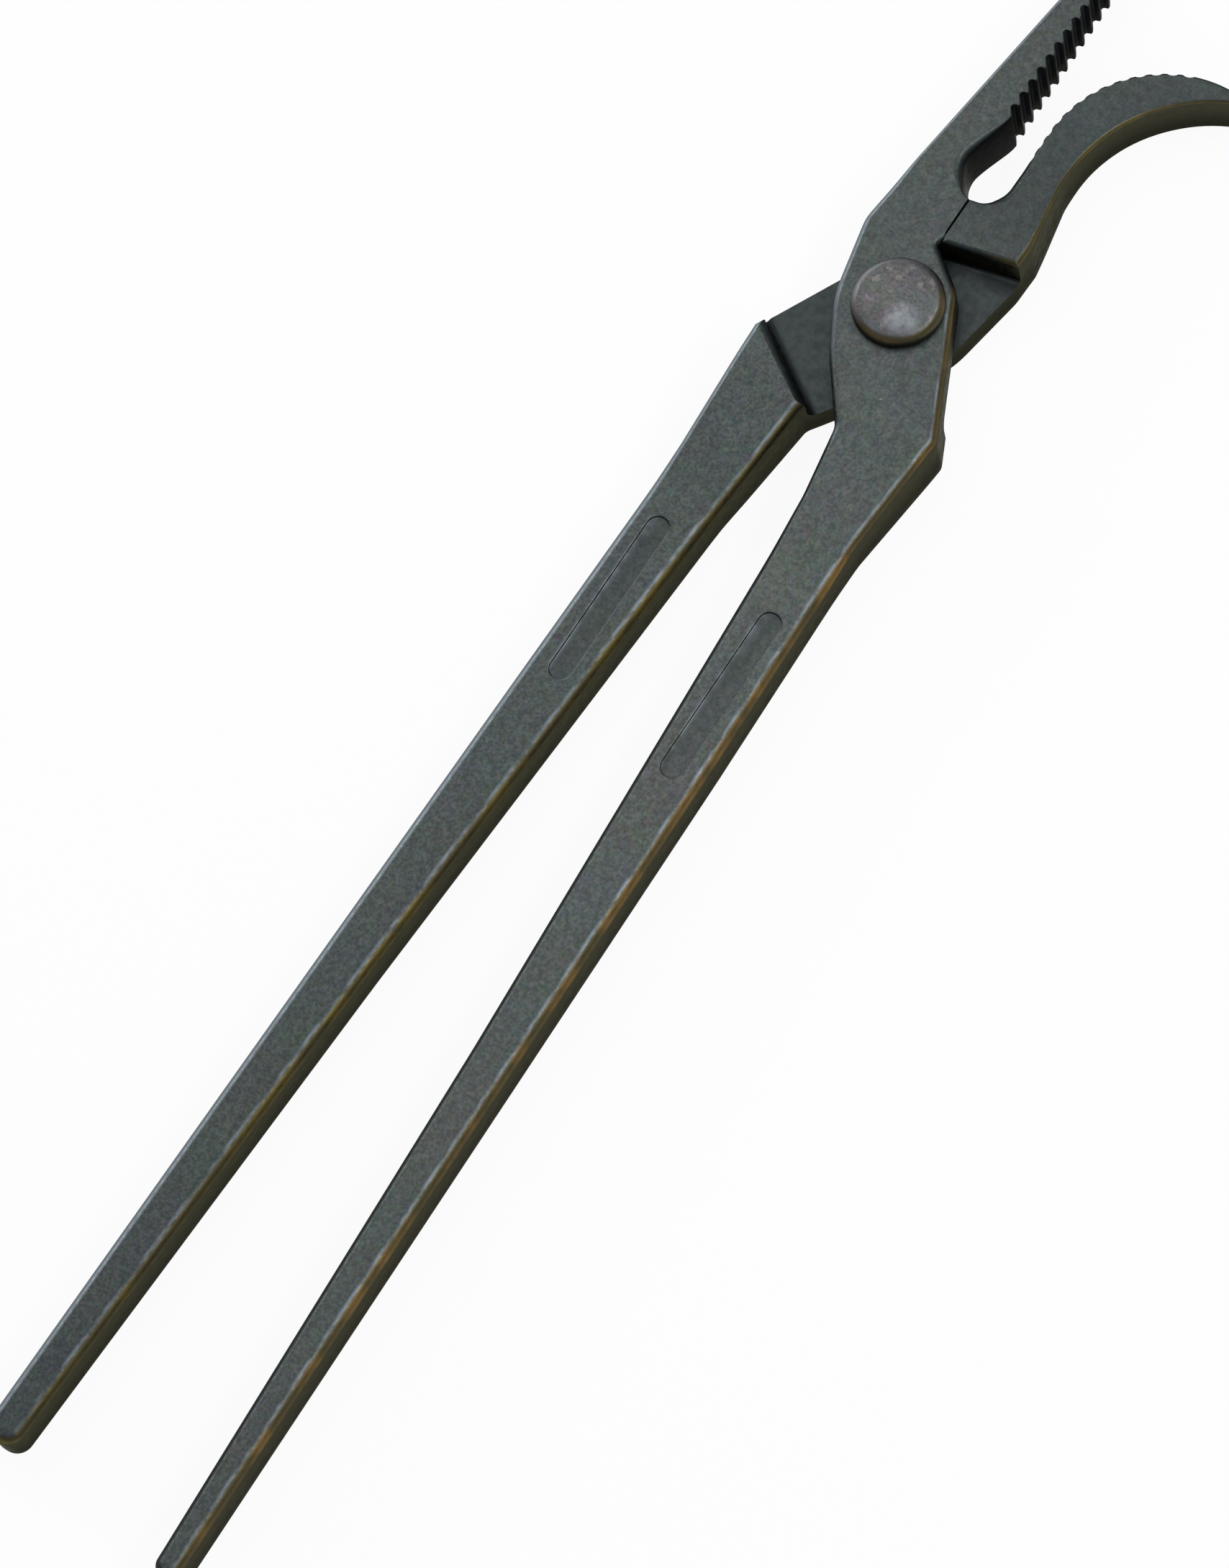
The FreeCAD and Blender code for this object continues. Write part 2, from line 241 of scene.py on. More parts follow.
def revolved(name: str, profile: list[Point], steps: int) -> bpy.types.Object:
    """Makes a closed solid of revolution about the Z axis.

    Args:
        name: Name of the object.
        profile: (radius, height) points from the bottom pole to the top pole.
        steps: Number of steps round the axis.

    Returns:
        The solid as a scene object.
    """
    vertices = [(0.0, 0.0, profile[0][1])]
    for radius, height in profile[1:-1]:
        vertices += [(x, y, height) for x, y in circle(0.0, 0.0, radius, steps)]
    vertices.append((0.0, 0.0, profile[-1][1]))
    rings = len(profile) - 2
    top = len(vertices) - 1
    faces: list[tuple[int, ...]] = []
    for k in range(steps):
        j = (k + 1) % steps
        faces.append((0, 1 + j, 1 + k))
        for ring in range(rings - 1):
            low, high = 1 + ring * steps, 1 + (ring + 1) * steps
            faces.append((low + k, low + j, high + j, high + k))
        last = 1 + (rings - 1) * steps
        faces.append((last + k, last + j, top))
    return mesh_object(name, vertices, faces)


@dataclass
class Thickness:
    """How thick a lever is from its handle's end to its jaw's tip, about one middle height."""

    middle: float
    knots: list[Point]
    window: float = 2.5

    def plain(self, y: float) -> float:
        """Half thickness on the straight runs between the knots."""
        places = [knot[0] for knot in self.knots]
        i = min(len(places) - 1, max(1, bisect.bisect(places, y)))
        (ay, at), (by, bt) = self.knots[i - 1], self.knots[i]
        share = min(1.0, max(0.0, (y - ay) / (by - ay)))
        return at + share * (bt - at)

    def half(self, y: float) -> float:
        """Half thickness with the knots eased over a short window."""
        spread = [self.plain(y + self.window * k / 4) for k in range(-4, 5)]
        return sum(spread) / len(spread)


@dataclass
class Blank:
    """A forging as it leaves the dies: a flat form with rounded long edges."""

    outline: list[Point]
    thickness: Thickness
    edge_radius: Callable[[float, float], float]
    edge_steps: int = 7
    wall_steps: int = 5
    grid: float = 2.4

    def cap(self, ring: list[Point]) -> tuple[list[Point], list[tuple[int, ...]]]:
        """Fills a ring with triangles over an even grid of points.

        Args:
            ring: Closed anticlockwise outline of the flat.

        Returns:
            The points inside the ring, and triangles on the ring's points followed by these.
        """
        near = kdtree.KDTree(len(ring))
        for i, (x, y) in enumerate(ring):
            near.insert((x, y, 0), i)
        near.balance()
        xs, ys = [p[0] for p in ring], [p[1] for p in ring]
        filling: list[Point] = []
        rows = int((max(ys) - min(ys)) / (self.grid * 0.866))
        for row in range(rows + 1):
            y = min(ys) + row * self.grid * 0.866
            x = min(xs) + (row % 2) * self.grid / 2
            while x < max(xs):
                if near.find((x, y, 0))[2] > 0.8 * self.grid and inside(x, y, ring):
                    filling.append((x, y))
                x += self.grid
        points = [Vector(p) for p in ring + filling]
        result = delaunay_2d_cdt(points, [], [list(range(len(ring)))], 1, 1e-7)
        source = [numbers[0] for numbers in result[3]]
        return filling, [tuple(source[i] for i in face) for face in result[2]]

    def make(self, name: str) -> bpy.types.Object:
        """Builds the blank as a closed mesh.

        Args:
            name: Name of the object.

        Returns:
            The blank as a scene object.
        """
        normals = outward(self.outline)
        rings: list[list[tuple[float, float, float]]] = []
        for k in range(self.edge_steps + 1):
            angle = math.pi / 2 * k / self.edge_steps
            ring = []
            for (x, y), normal in zip(self.outline, normals):
                radius = self.edge_radius(x, y)
                inset = radius * (1 - math.cos(angle))
                px, py = x - normal.x * inset, y - normal.y * inset
                ring.append((px, py, self.thickness.half(py) - radius * (1 - math.sin(angle))))
            rings.append(ring)
        filling, triangles = self.cap([(x, y) for x, y, _ in rings[-1]])
        middle = self.thickness.middle
        levels = [[(x, y, middle - z) for x, y, z in ring] for ring in reversed(rings)]
        for k in range(1, self.wall_steps):
            share = 2 * k / self.wall_steps - 1
            levels.append([(x, y, middle + share * z) for x, y, z in rings[0]])
        levels += [[(x, y, middle + z) for x, y, z in ring] for ring in rings]
        count = len(self.outline)
        vertices = [point for level in levels for point in level]
        faces: list[tuple[int, ...]] = []
        for level in range(len(levels) - 1):
            low, high = level * count, (level + 1) * count
            for i in range(count):
                j = (i + 1) % count
                faces.append((low + i, low + j, high + j, high + i))
        for sign, ring_at in ((1, (len(levels) - 1) * count), (-1, 0)):
            inner_at = len(vertices)
            vertices += [(x, y, middle + sign * self.thickness.half(y)) for x, y in filling]
            for face in triangles:
                placed = [ring_at + i if i < count else inner_at + i - count for i in face]
                faces.append(tuple(placed if sign > 0 else reversed(placed)))
        return mesh_object(name, vertices, faces)


def add_node(
    tree: bpy.types.NodeTree,
    kind: str,
    settings: dict | None = None,
    links: dict | None = None,
) -> bpy.types.Node:
    """Adds a node, sets it and joins it to earlier ones.

    Args:
        tree: Tree that gets the node.
        kind: Blender's name of the node type.
        settings: Properties by name, or values of input sockets by "in:" and name or number.
        links: Output sockets by the name or number of the input that they feed.

    Returns:
        The new node.
    """
    node = tree.nodes.new(kind)
    for key, value in (settings or {}).items():
        if key.startswith("in:"):
            place = key[3:]
            node.inputs[int(place) if place.isdigit() else place].default_value = value
        else:
            setattr(node, key, value)
    for place, source in (links or {}).items():
        tree.links.new(source, node.inputs[place])
    return node


@dataclass
class ToothRow:
    """A row of gullets cut along a path on a jaw, laid out by a Geometry Nodes tree."""

    name: str
    count: int
    path: list[tuple[float, float, float]]
    gullet: list[Point]
    middle: float
    edge: float = 0.35

    def tree(self) -> bpy.types.GeometryNodeTree:
        """Builds the tree that sets one gullet at each step of the path and cuts them.

        Returns:
            The tree, with inputs Path, Gullet, Count and Finish.
        """
        made = bpy.data.node_groups.new(self.name + "_cutting", "GeometryNodeTree")
        for name, kind in (("Geometry", "Geometry"), ("Path", "Object"), ("Gullet", "Object"),
                           ("Count", "Int"), ("Finish", "Material")):
            made.interface.new_socket(name, in_out="INPUT", socket_type="NodeSocket" + kind)
        made.interface.new_socket(
            "Geometry", in_out="OUTPUT", socket_type="NodeSocketGeometry"
        )
        given = add_node(made, "NodeGroupInput").outputs
        path = add_node(made, "GeometryNodeObjectInfo", {}, {"Object": given["Path"]})
        cutter = add_node(made, "GeometryNodeObjectInfo", {}, {"Object": given["Gullet"]})
        steps = add_node(
            made, "GeometryNodeCurveToPoints", {"mode": "COUNT"},
            {"Curve": path.outputs["Geometry"], "Count": given["Count"]},
        )
        turn = add_node(
            made, "FunctionNodeAlignRotationToVector", {"axis": "X", "pivot_axis": "Z"},
            {"Vector": steps.outputs["Tangent"]},
        )
        height = add_node(
            made, "ShaderNodeCombineXYZ", {"in:0": 1.0, "in:1": 1.0},
            {2: add_node(made, "GeometryNodeInputRadius").outputs[0]},
        )
        spread = add_node(
            made, "GeometryNodeInstanceOnPoints", {},
            {"Points": steps.outputs["Points"], "Instance": cutter.outputs["Geometry"],
             "Rotation": turn.outputs["Rotation"], "Scale": height.outputs[0]},
        )
        gullets = add_node(
            made, "GeometryNodeRealizeInstances", {}, {"Geometry": spread.outputs["Instances"]}
        )
        cut = add_node(
            made, "GeometryNodeMeshBoolean", {"operation": "DIFFERENCE", "solver": "MANIFOLD"},
            {0: given["Geometry"], 1: gullets.outputs["Geometry"]},
        )
        plain = add_node(
            made, "GeometryNodeRealizeInstances", {}, {"Geometry": cut.outputs["Mesh"]}
        )
        dressed = add_node(
            made, "GeometryNodeSetMaterial", {},
            {"Geometry": plain.outputs["Geometry"], "Material": given["Finish"]},
        )
        add_node(made, "NodeGroupOutput", {}, {"Geometry": dressed.outputs["Geometry"]})
        return made

    def layers(self) -> list[list[tuple[float, float, float]]]:
        """Layers of one gullet, flared at the jaw's faces; a height of one is the half thickness.

        Returns:
            Closed rings from the lowest to the highest.
        """
        ring = anticlockwise(self.gullet)
        normals = outward(ring)
        # Out sideways in millimetres, up in shares of the half thickness, ending past the face.
        rise = [(0.0, 1 - self.edge / 6), (self.edge * 0.3, 1 - self.edge / 14),
                (self.edge, 1.004), (self.edge, 1.5)]
        steps = [(out, -z) for out, z in reversed(rise)] + rise
        return [[(x + n.x * out, y + n.y * out, z) for (x, y), n in zip(ring, normals)]
                for out, z in steps]

    def cut_into(self, piece: bpy.types.Object, finish: bpy.types.Material) -> list:
        """Adds the row to a piece as a modifier.

        Args:
            piece: The lever that gets the teeth.
            finish: Its material.

        Returns:
            The helper objects, to be removed once the modifier is applied.
        """
        curve = bpy.data.curves.new(self.name + "_path", "CURVE")
        curve.dimensions = "3D"
        spline = curve.splines.new("POLY")
        spline.points.add(len(self.path) - 1)
        for point, (x, y, half) in zip(spline.points, self.path):
            point.co = (x, y, self.middle, 1.0)
            point.radius = half
        path = bpy.data.objects.new(self.name + "_path", curve)
        bpy.context.scene.collection.objects.link(path)
        gullet = stacked(self.name + "_gullet", self.layers())
        modifier = piece.modifiers.new(self.name, "NODES")
        modifier.node_group = self.tree()
        values = {"Path": path, "Gullet": gullet, "Count": self.count, "Finish": finish}
        for item in modifier.node_group.interface.items_tree:
            if item.in_out == "INPUT" and item.name in values:
                modifier[item.identifier] = values[item.name]
        return [path, gullet]


@dataclass
class Painter:
    """Adds the nodes that a finish is painted with, on object coordinates."""

    tree: bpy.types.NodeTree
    at: Socket
    seed: float

    def noise(self, size_mm: float, detail: float, pattern: Pattern,
              output: str = "Fac") -> Socket:
        """Adds a noise whose lumps measure size_mm across.

        Args:
            size_mm: Width of one lump.
            detail: Octaves of finer noise.
            pattern: Which pattern it makes; each has its own seed.
            output: "Fac" for a value, "Color" for three.

        Returns:
            The noise.
        """
        made = add_node(
            self.tree, "ShaderNodeTexNoise",
            {"noise_dimensions": "4D", "in:W": self.seed + pattern.value,
             "in:Scale": 1 / (2 * size_mm * MM), "in:Detail": detail, "in:Roughness": 0.55},
            {"Vector": self.at},
        )
        return made.outputs[output]

    def ramp(self, source: Socket, low: float, high: float, start: float = 0.0,
             end: float = 1.0) -> Socket:
        """Maps a value smoothly from low..high onto start..end.

        Args:
            source: Value to map.
            low: Source value that gives start.
            high: Source value that gives end.
            start: Result at low.
            end: Result at high.

        Returns:
            The mapped value.
        """
        made = add_node(
            self.tree, "ShaderNodeMapRange",
            {"interpolation_type": "SMOOTHSTEP", "in:From Min": low, "in:From Max": high,
             "in:To Min": start, "in:To Max": end},
            {"Value": source},
        )
        return made.outputs["Result"]

    def ramp_mm(self, source: Socket, low: float, high: float, start: float = 0.0,
                end: float = 1.0) -> Socket:
        """A ramp between two places in millimetres."""
        return self.ramp(source, low * MM, high * MM, start, end)

    def mixed(self, share: Socket | float, under: Socket | str, over: Socket | str,
              blend: str = "MIX") -> Socket:
        """Lays one colour over another.

        Args:
            share: How much of the upper colour shows, a socket or a value.
            under: Lower colour, a hex string or a socket.
            over: Upper colour, a hex string or a socket.
            blend: Blender's name of the way they mix.

        Returns:
            The mixed colour.
        """
        made = add_node(self.tree, "ShaderNodeMix", {"data_type": "RGBA", "blend_type": blend})
        for place, value in ((0, share), (6, under), (7, over)):
            if isinstance(value, str):
                made.inputs[place].default_value = linear(value)
            elif isinstance(value, float):
                made.inputs[place].default_value = value
            else:
                self.tree.links.new(value, made.inputs[place])
        return made.outputs[2]

    def product(self, *factors: Socket) -> Socket:
        """Multiplies values with one another."""
        result = factors[0]
        for factor in factors[1:]:
            result = add_node(self.tree, "ShaderNodeMath", {"operation": "MULTIPLY"},
                              {0: result, 1: factor}).outputs[0]
        return result


@dataclass(frozen=True)
class ForgedFinish:
    """Drop-forged carbon steel under its dark oxide: matt, finely mottled, with painted highlights
    and painted reflections at the edges and painted shade on the walls.
    """

    name: str
    flat_hex: str = "5c615f"
    flat_dark_hex: str = "4a4f4d"
    lap_hex: str = "3b4040"
    # Painted shade: the colours of steep walls, of their feet and of the walls inside the jaws.
    wall_shade_hex: str = "45443a"
    foot_shade_hex: str = "2d2d29"
    jaw_shade_hex: str = "24252a"
    olive_hex: str = "504c38"
    rust_hex: str = "80673f"
    # The pale colour of the painted highlight line and of the painted reflection.
    highlight_hex: str = "828b92"
    speck_hex: str = "a3a8a6"
    speck_mm: float = 0.8
    speck_from: float = 0.70
    roughness: float = 0.42
    grain_mm: float = 0.3
    mottle_mm: float = 0.8
    cloud_mm: float = 7.0
    pit_mm: float = 0.4
    hammer_mm: float = 9.0
    rust_mm: float = 5.0
    lap_z_mm: float = 8.2
    # The way the faces turn that get the painted highlight line and the rust; faces turned away get
    # the painted reflection.
    painted_light_side: tuple[float, float, float] = (0.815, -0.58, 0.0)
    # Where along the tool the painted reflection on the side turned away runs.
    back_sheen_mm: Point = (-400.0, 400.0)
    # Where along the tool the painted shade inside the jaws starts.
    jaw_shade_from_mm: float = 400.0
    # Where along the tool the painted highlight line ends.
    highlight_to_mm: float = 400.0
    # Where along the tool the flats darken towards the jaw, and by how much.
    jaw_darkening_mm: Point = (9.0, 22.0)
    oxide: float = 0.0
    # A painted highlight spot: its place, how it fades and its colour.
    highlight_spot_mm: tuple[float, float, float] = (0.0, 0.0, 400.0)
    highlight_spot_fades_mm: Point = (1.0, 4.5)
    highlight_spot_hex: str = "9aa0a6"
    shoulder_mm: Point = (400.0, 500.0)
    shoulder_rim_mm: Point = (12.0, 15.0)
    panel_z_mm: Point = (12.45, 12.6)
    wall_z_mm: Point = (3.0, 12.0)
    # The upright part of a face's normal: 1 on a level face, 0 on an upright wall.
    turn_steep: Point = (0.78, 0.97)
    wall_steep: Point = (0.08, 0.50)
    highlight_rises: Point = (0.88, 0.95)
    highlight_falls: Point = (0.975, 0.999)
    back_steep: Point = (0.05, 0.35)
    # How far a face turns to the right and down, where the painted highlight and the rust go, and
    # away from it for the painted reflection.
    painted_light_side_from: Point = (0.02, 0.22)
    back_side_to: Point = (-0.50, -0.12)
    glance_hex: str = "b4b4ae"
    seed: float = 0.0

    def flats(self, paint: Painter, along: Socket, height: Socket) -> Socket:
        """Builds the colour of the flat faces.

        Args:
            paint: The material's painter.
            along: Distance along the tool.
            height: Height above the table.

        Returns:
            The colour: fine oxide grain, faint cool and rosy mottling, a few pale specks, a painted
                highlight spot, and darker flats towards the jaw, on the sunk panel's floor and on
                the lap.
        """
        grain = paint.ramp(paint.noise(self.grain_mm, 3, Pattern.GRAIN), 0.34, 0.66)
        flat = paint.mixed(grain, self.flat_dark_hex, self.flat_hex)
        for size_mm, share, pattern in ((self.mottle_mm, 0.24, Pattern.MOTTLE),
                                        (self.cloud_mm, 0.12, Pattern.CLOUD)):
            tints = paint.noise(size_mm, 2, pattern, "Color")
            flat = paint.mixed(share, flat, tints, "OVERLAY")
        specks = paint.ramp(paint.noise(self.speck_mm, 3, Pattern.SPECKS),
                           self.speck_from, self.speck_from + 0.1, 0, 0.6)
        flat = paint.mixed(specks, flat, self.speck_hex)
        # A painted highlight: a pale spot round one point, broken up by mottling.
        away = add_node(
            paint.tree, "ShaderNodeVectorMath",
            {"operation": "DISTANCE", "in:1": tuple(MM * c for c in self.highlight_spot_mm)},
            {0: paint.at},
        ).outputs["Value"]
        bright = paint.product(
            paint.ramp_mm(away, *self.highlight_spot_fades_mm, 0.7, 0),
            paint.ramp(paint.noise(self.mottle_mm, 4, Pattern.SPOT), 0.25, 0.65),
        )
        flat = paint.mixed(bright, flat, self.highlight_spot_hex)
        # The flats are darker towards the jaw, on the sunk panel's floor, and on the lap, which
        # lies lower.
        darker = paint.ramp_mm(along, *self.jaw_darkening_mm, 0, self.oxide)
        flat = paint.mixed(darker, flat, self.lap_hex)
        panel = paint.ramp_mm(height, *self.panel_z_mm, 0.45, 0)
        flat = paint.mixed(panel, flat, self.lap_hex)
        low = paint.ramp_mm(height, self.lap_z_mm - 0.5, self.lap_z_mm, 0.8, 0)
        return paint.mixed(low, flat, self.lap_hex)

    def material(self) -> bpy.types.Material:
        """Builds the finish.

        Returns:
            The material, on object coordinates.
        """
        made = bpy.data.materials.new(self.name)
        made.use_nodes = True
        tree = made.node_tree
        tree.nodes.clear()
        place = add_node(tree, "ShaderNodeTexCoord").outputs
        paint = Painter(tree, place["Object"], self.seed)
        across, along, height = add_node(
            tree, "ShaderNodeSeparateXYZ", {}, {0: place["Object"]}
        ).outputs
        level = add_node(tree, "ShaderNodeSeparateXYZ", {}, {0: place["Normal"]}).outputs[2]
        steep = add_node(tree, "ShaderNodeMath", {"operation": "ABSOLUTE"}, {0: level}).outputs[0]
        side = add_node(
            tree, "ShaderNodeVectorMath", {"operation": "DOT_PRODUCT", "in:1": self.painted_light_side},
            {0: place["Normal"]},
        ).outputs["Value"]
        upper = paint.ramp_mm(height, self.lap_z_mm, self.lap_z_mm + 0.5)
        flat = self.flats(paint, along, height)
        # Painted shade: steep faces are painted dark, black at their feet and inside the jaws.
        jaws = paint.ramp_mm(along, self.jaw_shade_from_mm, self.jaw_shade_from_mm + 3)
        low, high = self.shoulder_mm
        shoulder = paint.product(paint.ramp_mm(along, low, low + 1),
                                 paint.ramp_mm(along, high, high + 1, 1, 0),
                                 paint.ramp_mm(across, *self.shoulder_rim_mm, 1, 0))
        wall = paint.mixed(paint.ramp_mm(height, *self.wall_z_mm), self.foot_shade_hex, self.wall_shade_hex)
        wall = paint.mixed(jaws, wall, self.jaw_shade_hex)
        # The turn of an edge: olive and orange rust in patches, painted only where the edge faces
        # right and down, as a painted reflection; elsewhere, inside the jaws and on the jaw
        # shoulders, the turn is painted dark as painted shade.
        outer = paint.product(
            upper, paint.ramp(side, *self.painted_light_side_from), paint.ramp(jaws, 0, 1, 1, 0),
            paint.ramp(shoulder, 0, 1, 1, 0),
        )
        rust = paint.ramp(paint.noise(self.rust_mm, 4, Pattern.RUST), 0.42, 0.64, 0.1, 0.9)
        stain = paint.mixed(rust, self.olive_hex, self.rust_hex)
        turn = paint.mixed(outer, self.lap_hex, stain)
        body = paint.mixed(paint.ramp(steep, *self.turn_steep, 1, 0), flat, turn)
        body = paint.mixed(paint.ramp(steep, *self.wall_steep, 1, 0), body, wall)
        # A painted highlight: a pale line on the edges that face right and down, broken up along
        # its run.
        highlight_noise = paint.noise(self.mottle_mm * 3, 4, Pattern.HIGHLIGHT_BREAKUP)
        highlight_breakup = paint.ramp(highlight_noise, 0.40, 0.62, 0.1, 0.8)
        line = paint.product(
            highlight_breakup, outer, paint.ramp(steep, *self.highlight_rises),
            paint.ramp(steep, *self.highlight_falls, 1, 0),
            paint.ramp_mm(along, self.highlight_to_mm, self.highlight_to_mm + 6, 1, 0),
        )
        body = paint.mixed(line, body, self.highlight_hex)
        # A painted reflection: over a stretch of the lever, roundings turned away from that side
        # are painted pale, and steep walls there dark grey.
        start, end = self.back_sheen_mm
        back_sheen = paint.product(
            paint.ramp(side, *self.back_side_to, 0.8, 0),
            paint.ramp_mm(along, start - 6, start),
            paint.ramp_mm(along, end, end + 6, 1, 0),
        )
        sheen_share = paint.ramp(steep, *self.back_steep)
        back = paint.mixed(sheen_share, self.flat_dark_hex, self.highlight_hex)
        body = paint.mixed(back_sheen, body, back)
        rough = paint.ramp(
            paint.noise(self.mottle_mm, 3, Pattern.GLOSS), 0.3, 0.7,
            self.roughness - 0.05, self.roughness + 0.10,
        )
        fine = add_node(
            tree, "ShaderNodeBump", {"in:Strength": 0.5, "in:Distance": 0.04 * MM},
            {"Height": paint.noise(self.pit_mm, 3, Pattern.PITS)},
        )
        swell = add_node(
            tree, "ShaderNodeBump", {"in:Strength": 0.5, "in:Distance": 0.2 * MM},
            {"Height": paint.noise(self.hammer_mm, 1, Pattern.SWELL),
             "Normal": fine.outputs["Normal"]},
        )
        shader = add_node(
            tree, "ShaderNodeBsdfPrincipled",
            {"in:Metallic": 1.0, "in:Specular Tint": linear(self.glance_hex)},
            {"Base Color": body, "Roughness": rough, "Normal": swell.outputs["Normal"]},
        )
        add_node(tree, "ShaderNodeOutputMaterial", {}, {"Surface": shader.outputs[0]})
        return made


@dataclass
class Mouth:
    """Cutter on a lever's biting side that leaves its upper and lower edges rounded."""

    outline: list[Point]
    thickness: Thickness
    edge_radius: Callable[[float, float], float]
    steps: int = 5
    flare: float = 0.3
    arc_share: float = 0.96

    def make(self, name: str) -> bpy.types.Object:
        """Builds the cutter, flared where it meets the lever's faces.

        Args:
            name: Name of the object.

        Returns:
            The cutter as a scene object.
        """
        ring = anticlockwise(self.outline)
        normals = outward(ring)
        upper: list[list[tuple[float, float, float]]] = []
        for k in range(self.steps + 2):
            # The arc stops just short of level, so that it never lies in the lever's face.
            angle = math.pi / 2 * self.arc_share * min(k, self.steps) / self.steps
            layer = []
            for (x, y), normal in zip(ring, normals):
                radius = self.edge_radius(x, y)
                out = radius * (1 - math.cos(angle)) + (self.flare if k > self.steps else 0.0)
                lift = PAST if k > self.steps else -radius * (1 - math.sin(angle))
                px, py = x + normal.x * out, y + normal.y * out
                layer.append((px, py, self.thickness.half(py) + lift))
            upper.append(layer)
        middle = self.thickness.middle
        layers = [[(x, y, middle - z) for x, y, z in layer] for layer in reversed(upper)]
        layers += [[(x, y, middle + z) for x, y, z in layer] for layer in upper]
        return stacked(name, layers)


@dataclass
class Boss:
    """The half-lapped joint that both levers share."""

    thickness: float = 15.0
    lap_gap: float = 0.1
    seam_x: float = 1.2
    seam_gap: float = 0.14
    shoulder_gap: float = 0.5
    notch_y: float = 12.9
    throat_y: float = 23.8
    jaw_root_y: float = 21.8
    pivot: Point = (1.5, -1.6)
    shank_radius: float = 5.0
    clearance: float = 0.05
    tail_radius: float = 6.5
    tail_depth: float = 2.2
    jaw_slope_deg: float = 12.0
    jaw_root: float = 0.8
    jaw_brow: float = 1.2
    handle_slope_deg: float = 34.2
    handle_distance: float = 24.6
    handle_root: float = 2.4
    handle_brow: float = 2.3
    turn_y: float = 6.5
    bar_reach: float = 45.0
    root_turns_deg: tuple[float, ...] = (20, 35, 50, 65, 78, 90)
    brow_turns_deg: tuple[float, ...] = (0, 15, 30, 45, 60, 75, 88)

    @property
    def middle(self) -> float:
        """Height of the lap's middle."""
        return self.thickness / 2

    def side(self, half_width: float, slant_deg: float, heel: Point) -> list[Corner]:
        """Corners of the slanted bar's outer side, down to the heel.

        Args:
            half_width: Distance of the side from the middle of the boss.
            slant_deg: Slant of the bar from the tool's axis.
            heel: How far out the heel stands, and its radius.

        Returns:
            Two corners, as on the lever whose handle lies to the right.
        """
        slant = math.radians(slant_deg)
        turn_x = (half_width - self.turn_y * math.sin(slant)) / math.cos(slant)
        heel_y = (half_width - heel[0] * math.cos(slant)) / math.sin(slant)
        return [(turn_x, self.turn_y, 7.0), (heel[0], heel_y, heel[1])]

    def void(self, name: str, side: Side, upper: bool, crown_z: Callable[[float], float]
             ) -> bpy.types.Object:
        """Makes the cutter for the other lever's bar, with rooted and browed shoulders.

        Args:
            name: Name of the object.
            side: Side of this lever's handle.
            upper: Whether the upper half is cleared; otherwise the lower half.
            crown_z: Height of the lever's flat above the middle, by distance along the tool.

        Returns:
            The cutter as a scene object.
        """
        sign = side.value
        notch_x = self.seam_x - sign * self.seam_gap / 2
        jaw_slope = math.tan(math.radians(self.jaw_slope_deg))
        turn = math.radians(self.handle_slope_deg)
        reach = self.bar_reach
        brow_at = crown_z(-self.handle_distance)
        heights = [self.lap_gap / -2]
        heights += [self.lap_gap / -2 + self.handle_root * (1 - math.cos(math.radians(a)))
                    for a in self.root_turns_deg]
        heights += [brow_at - self.handle_brow * (1 - math.sin(math.radians(a)))
                    for a in self.brow_turns_deg]
        heights += [brow_at + 0.6]
        layers = []
        for height in heights:
            jaw = self.lean(height + self.lap_gap / 2, self.jaw_root)
            jaw += self.brow(self.middle - height, self.jaw_brow)
            back = self.lean(height + self.lap_gap / 2, self.handle_root)
            back += self.brow(brow_at - height, self.handle_brow)
            wall_y = self.notch_y + self.shoulder_gap
            near = wall_y + jaw * math.hypot(1, jaw_slope)
            distance = self.handle_distance + back
            inner_y = -(distance + reach * math.sin(turn)) / math.cos(turn)
            outer_y = -(distance - reach * math.sin(turn)) / math.cos(turn)
            ring = [
                (sign * reach, wall_y),
                (notch_x, near),
                (notch_x - sign * reach, near + reach * jaw_slope),
                (-sign * reach, inner_y),
                (sign * reach, outer_y),
            ]
            z = self.middle + (height if upper else -height)
            layers.append([(x, y, z) for x, y in anticlockwise(ring)])
        return stacked(name, layers if upper else layers[::-1])

    def lean(self, height: float, radius: float) -> float:
        """How far a fillet of this radius at the foot of a wall still stands out."""
        if height >= radius:
            return 0.0
        return -(radius - math.sqrt(max(0.0, radius ** 2 - (radius - height) ** 2)))

    def brow(self, below: float, radius: float) -> float:
        """How far a rounding of this radius at the top of a wall has fallen back."""
        if below >= radius:
            return 0.0
        if below <= 0:
            return radius + 0.2
        return radius - math.sqrt(max(0.0, radius ** 2 - (radius - below) ** 2))


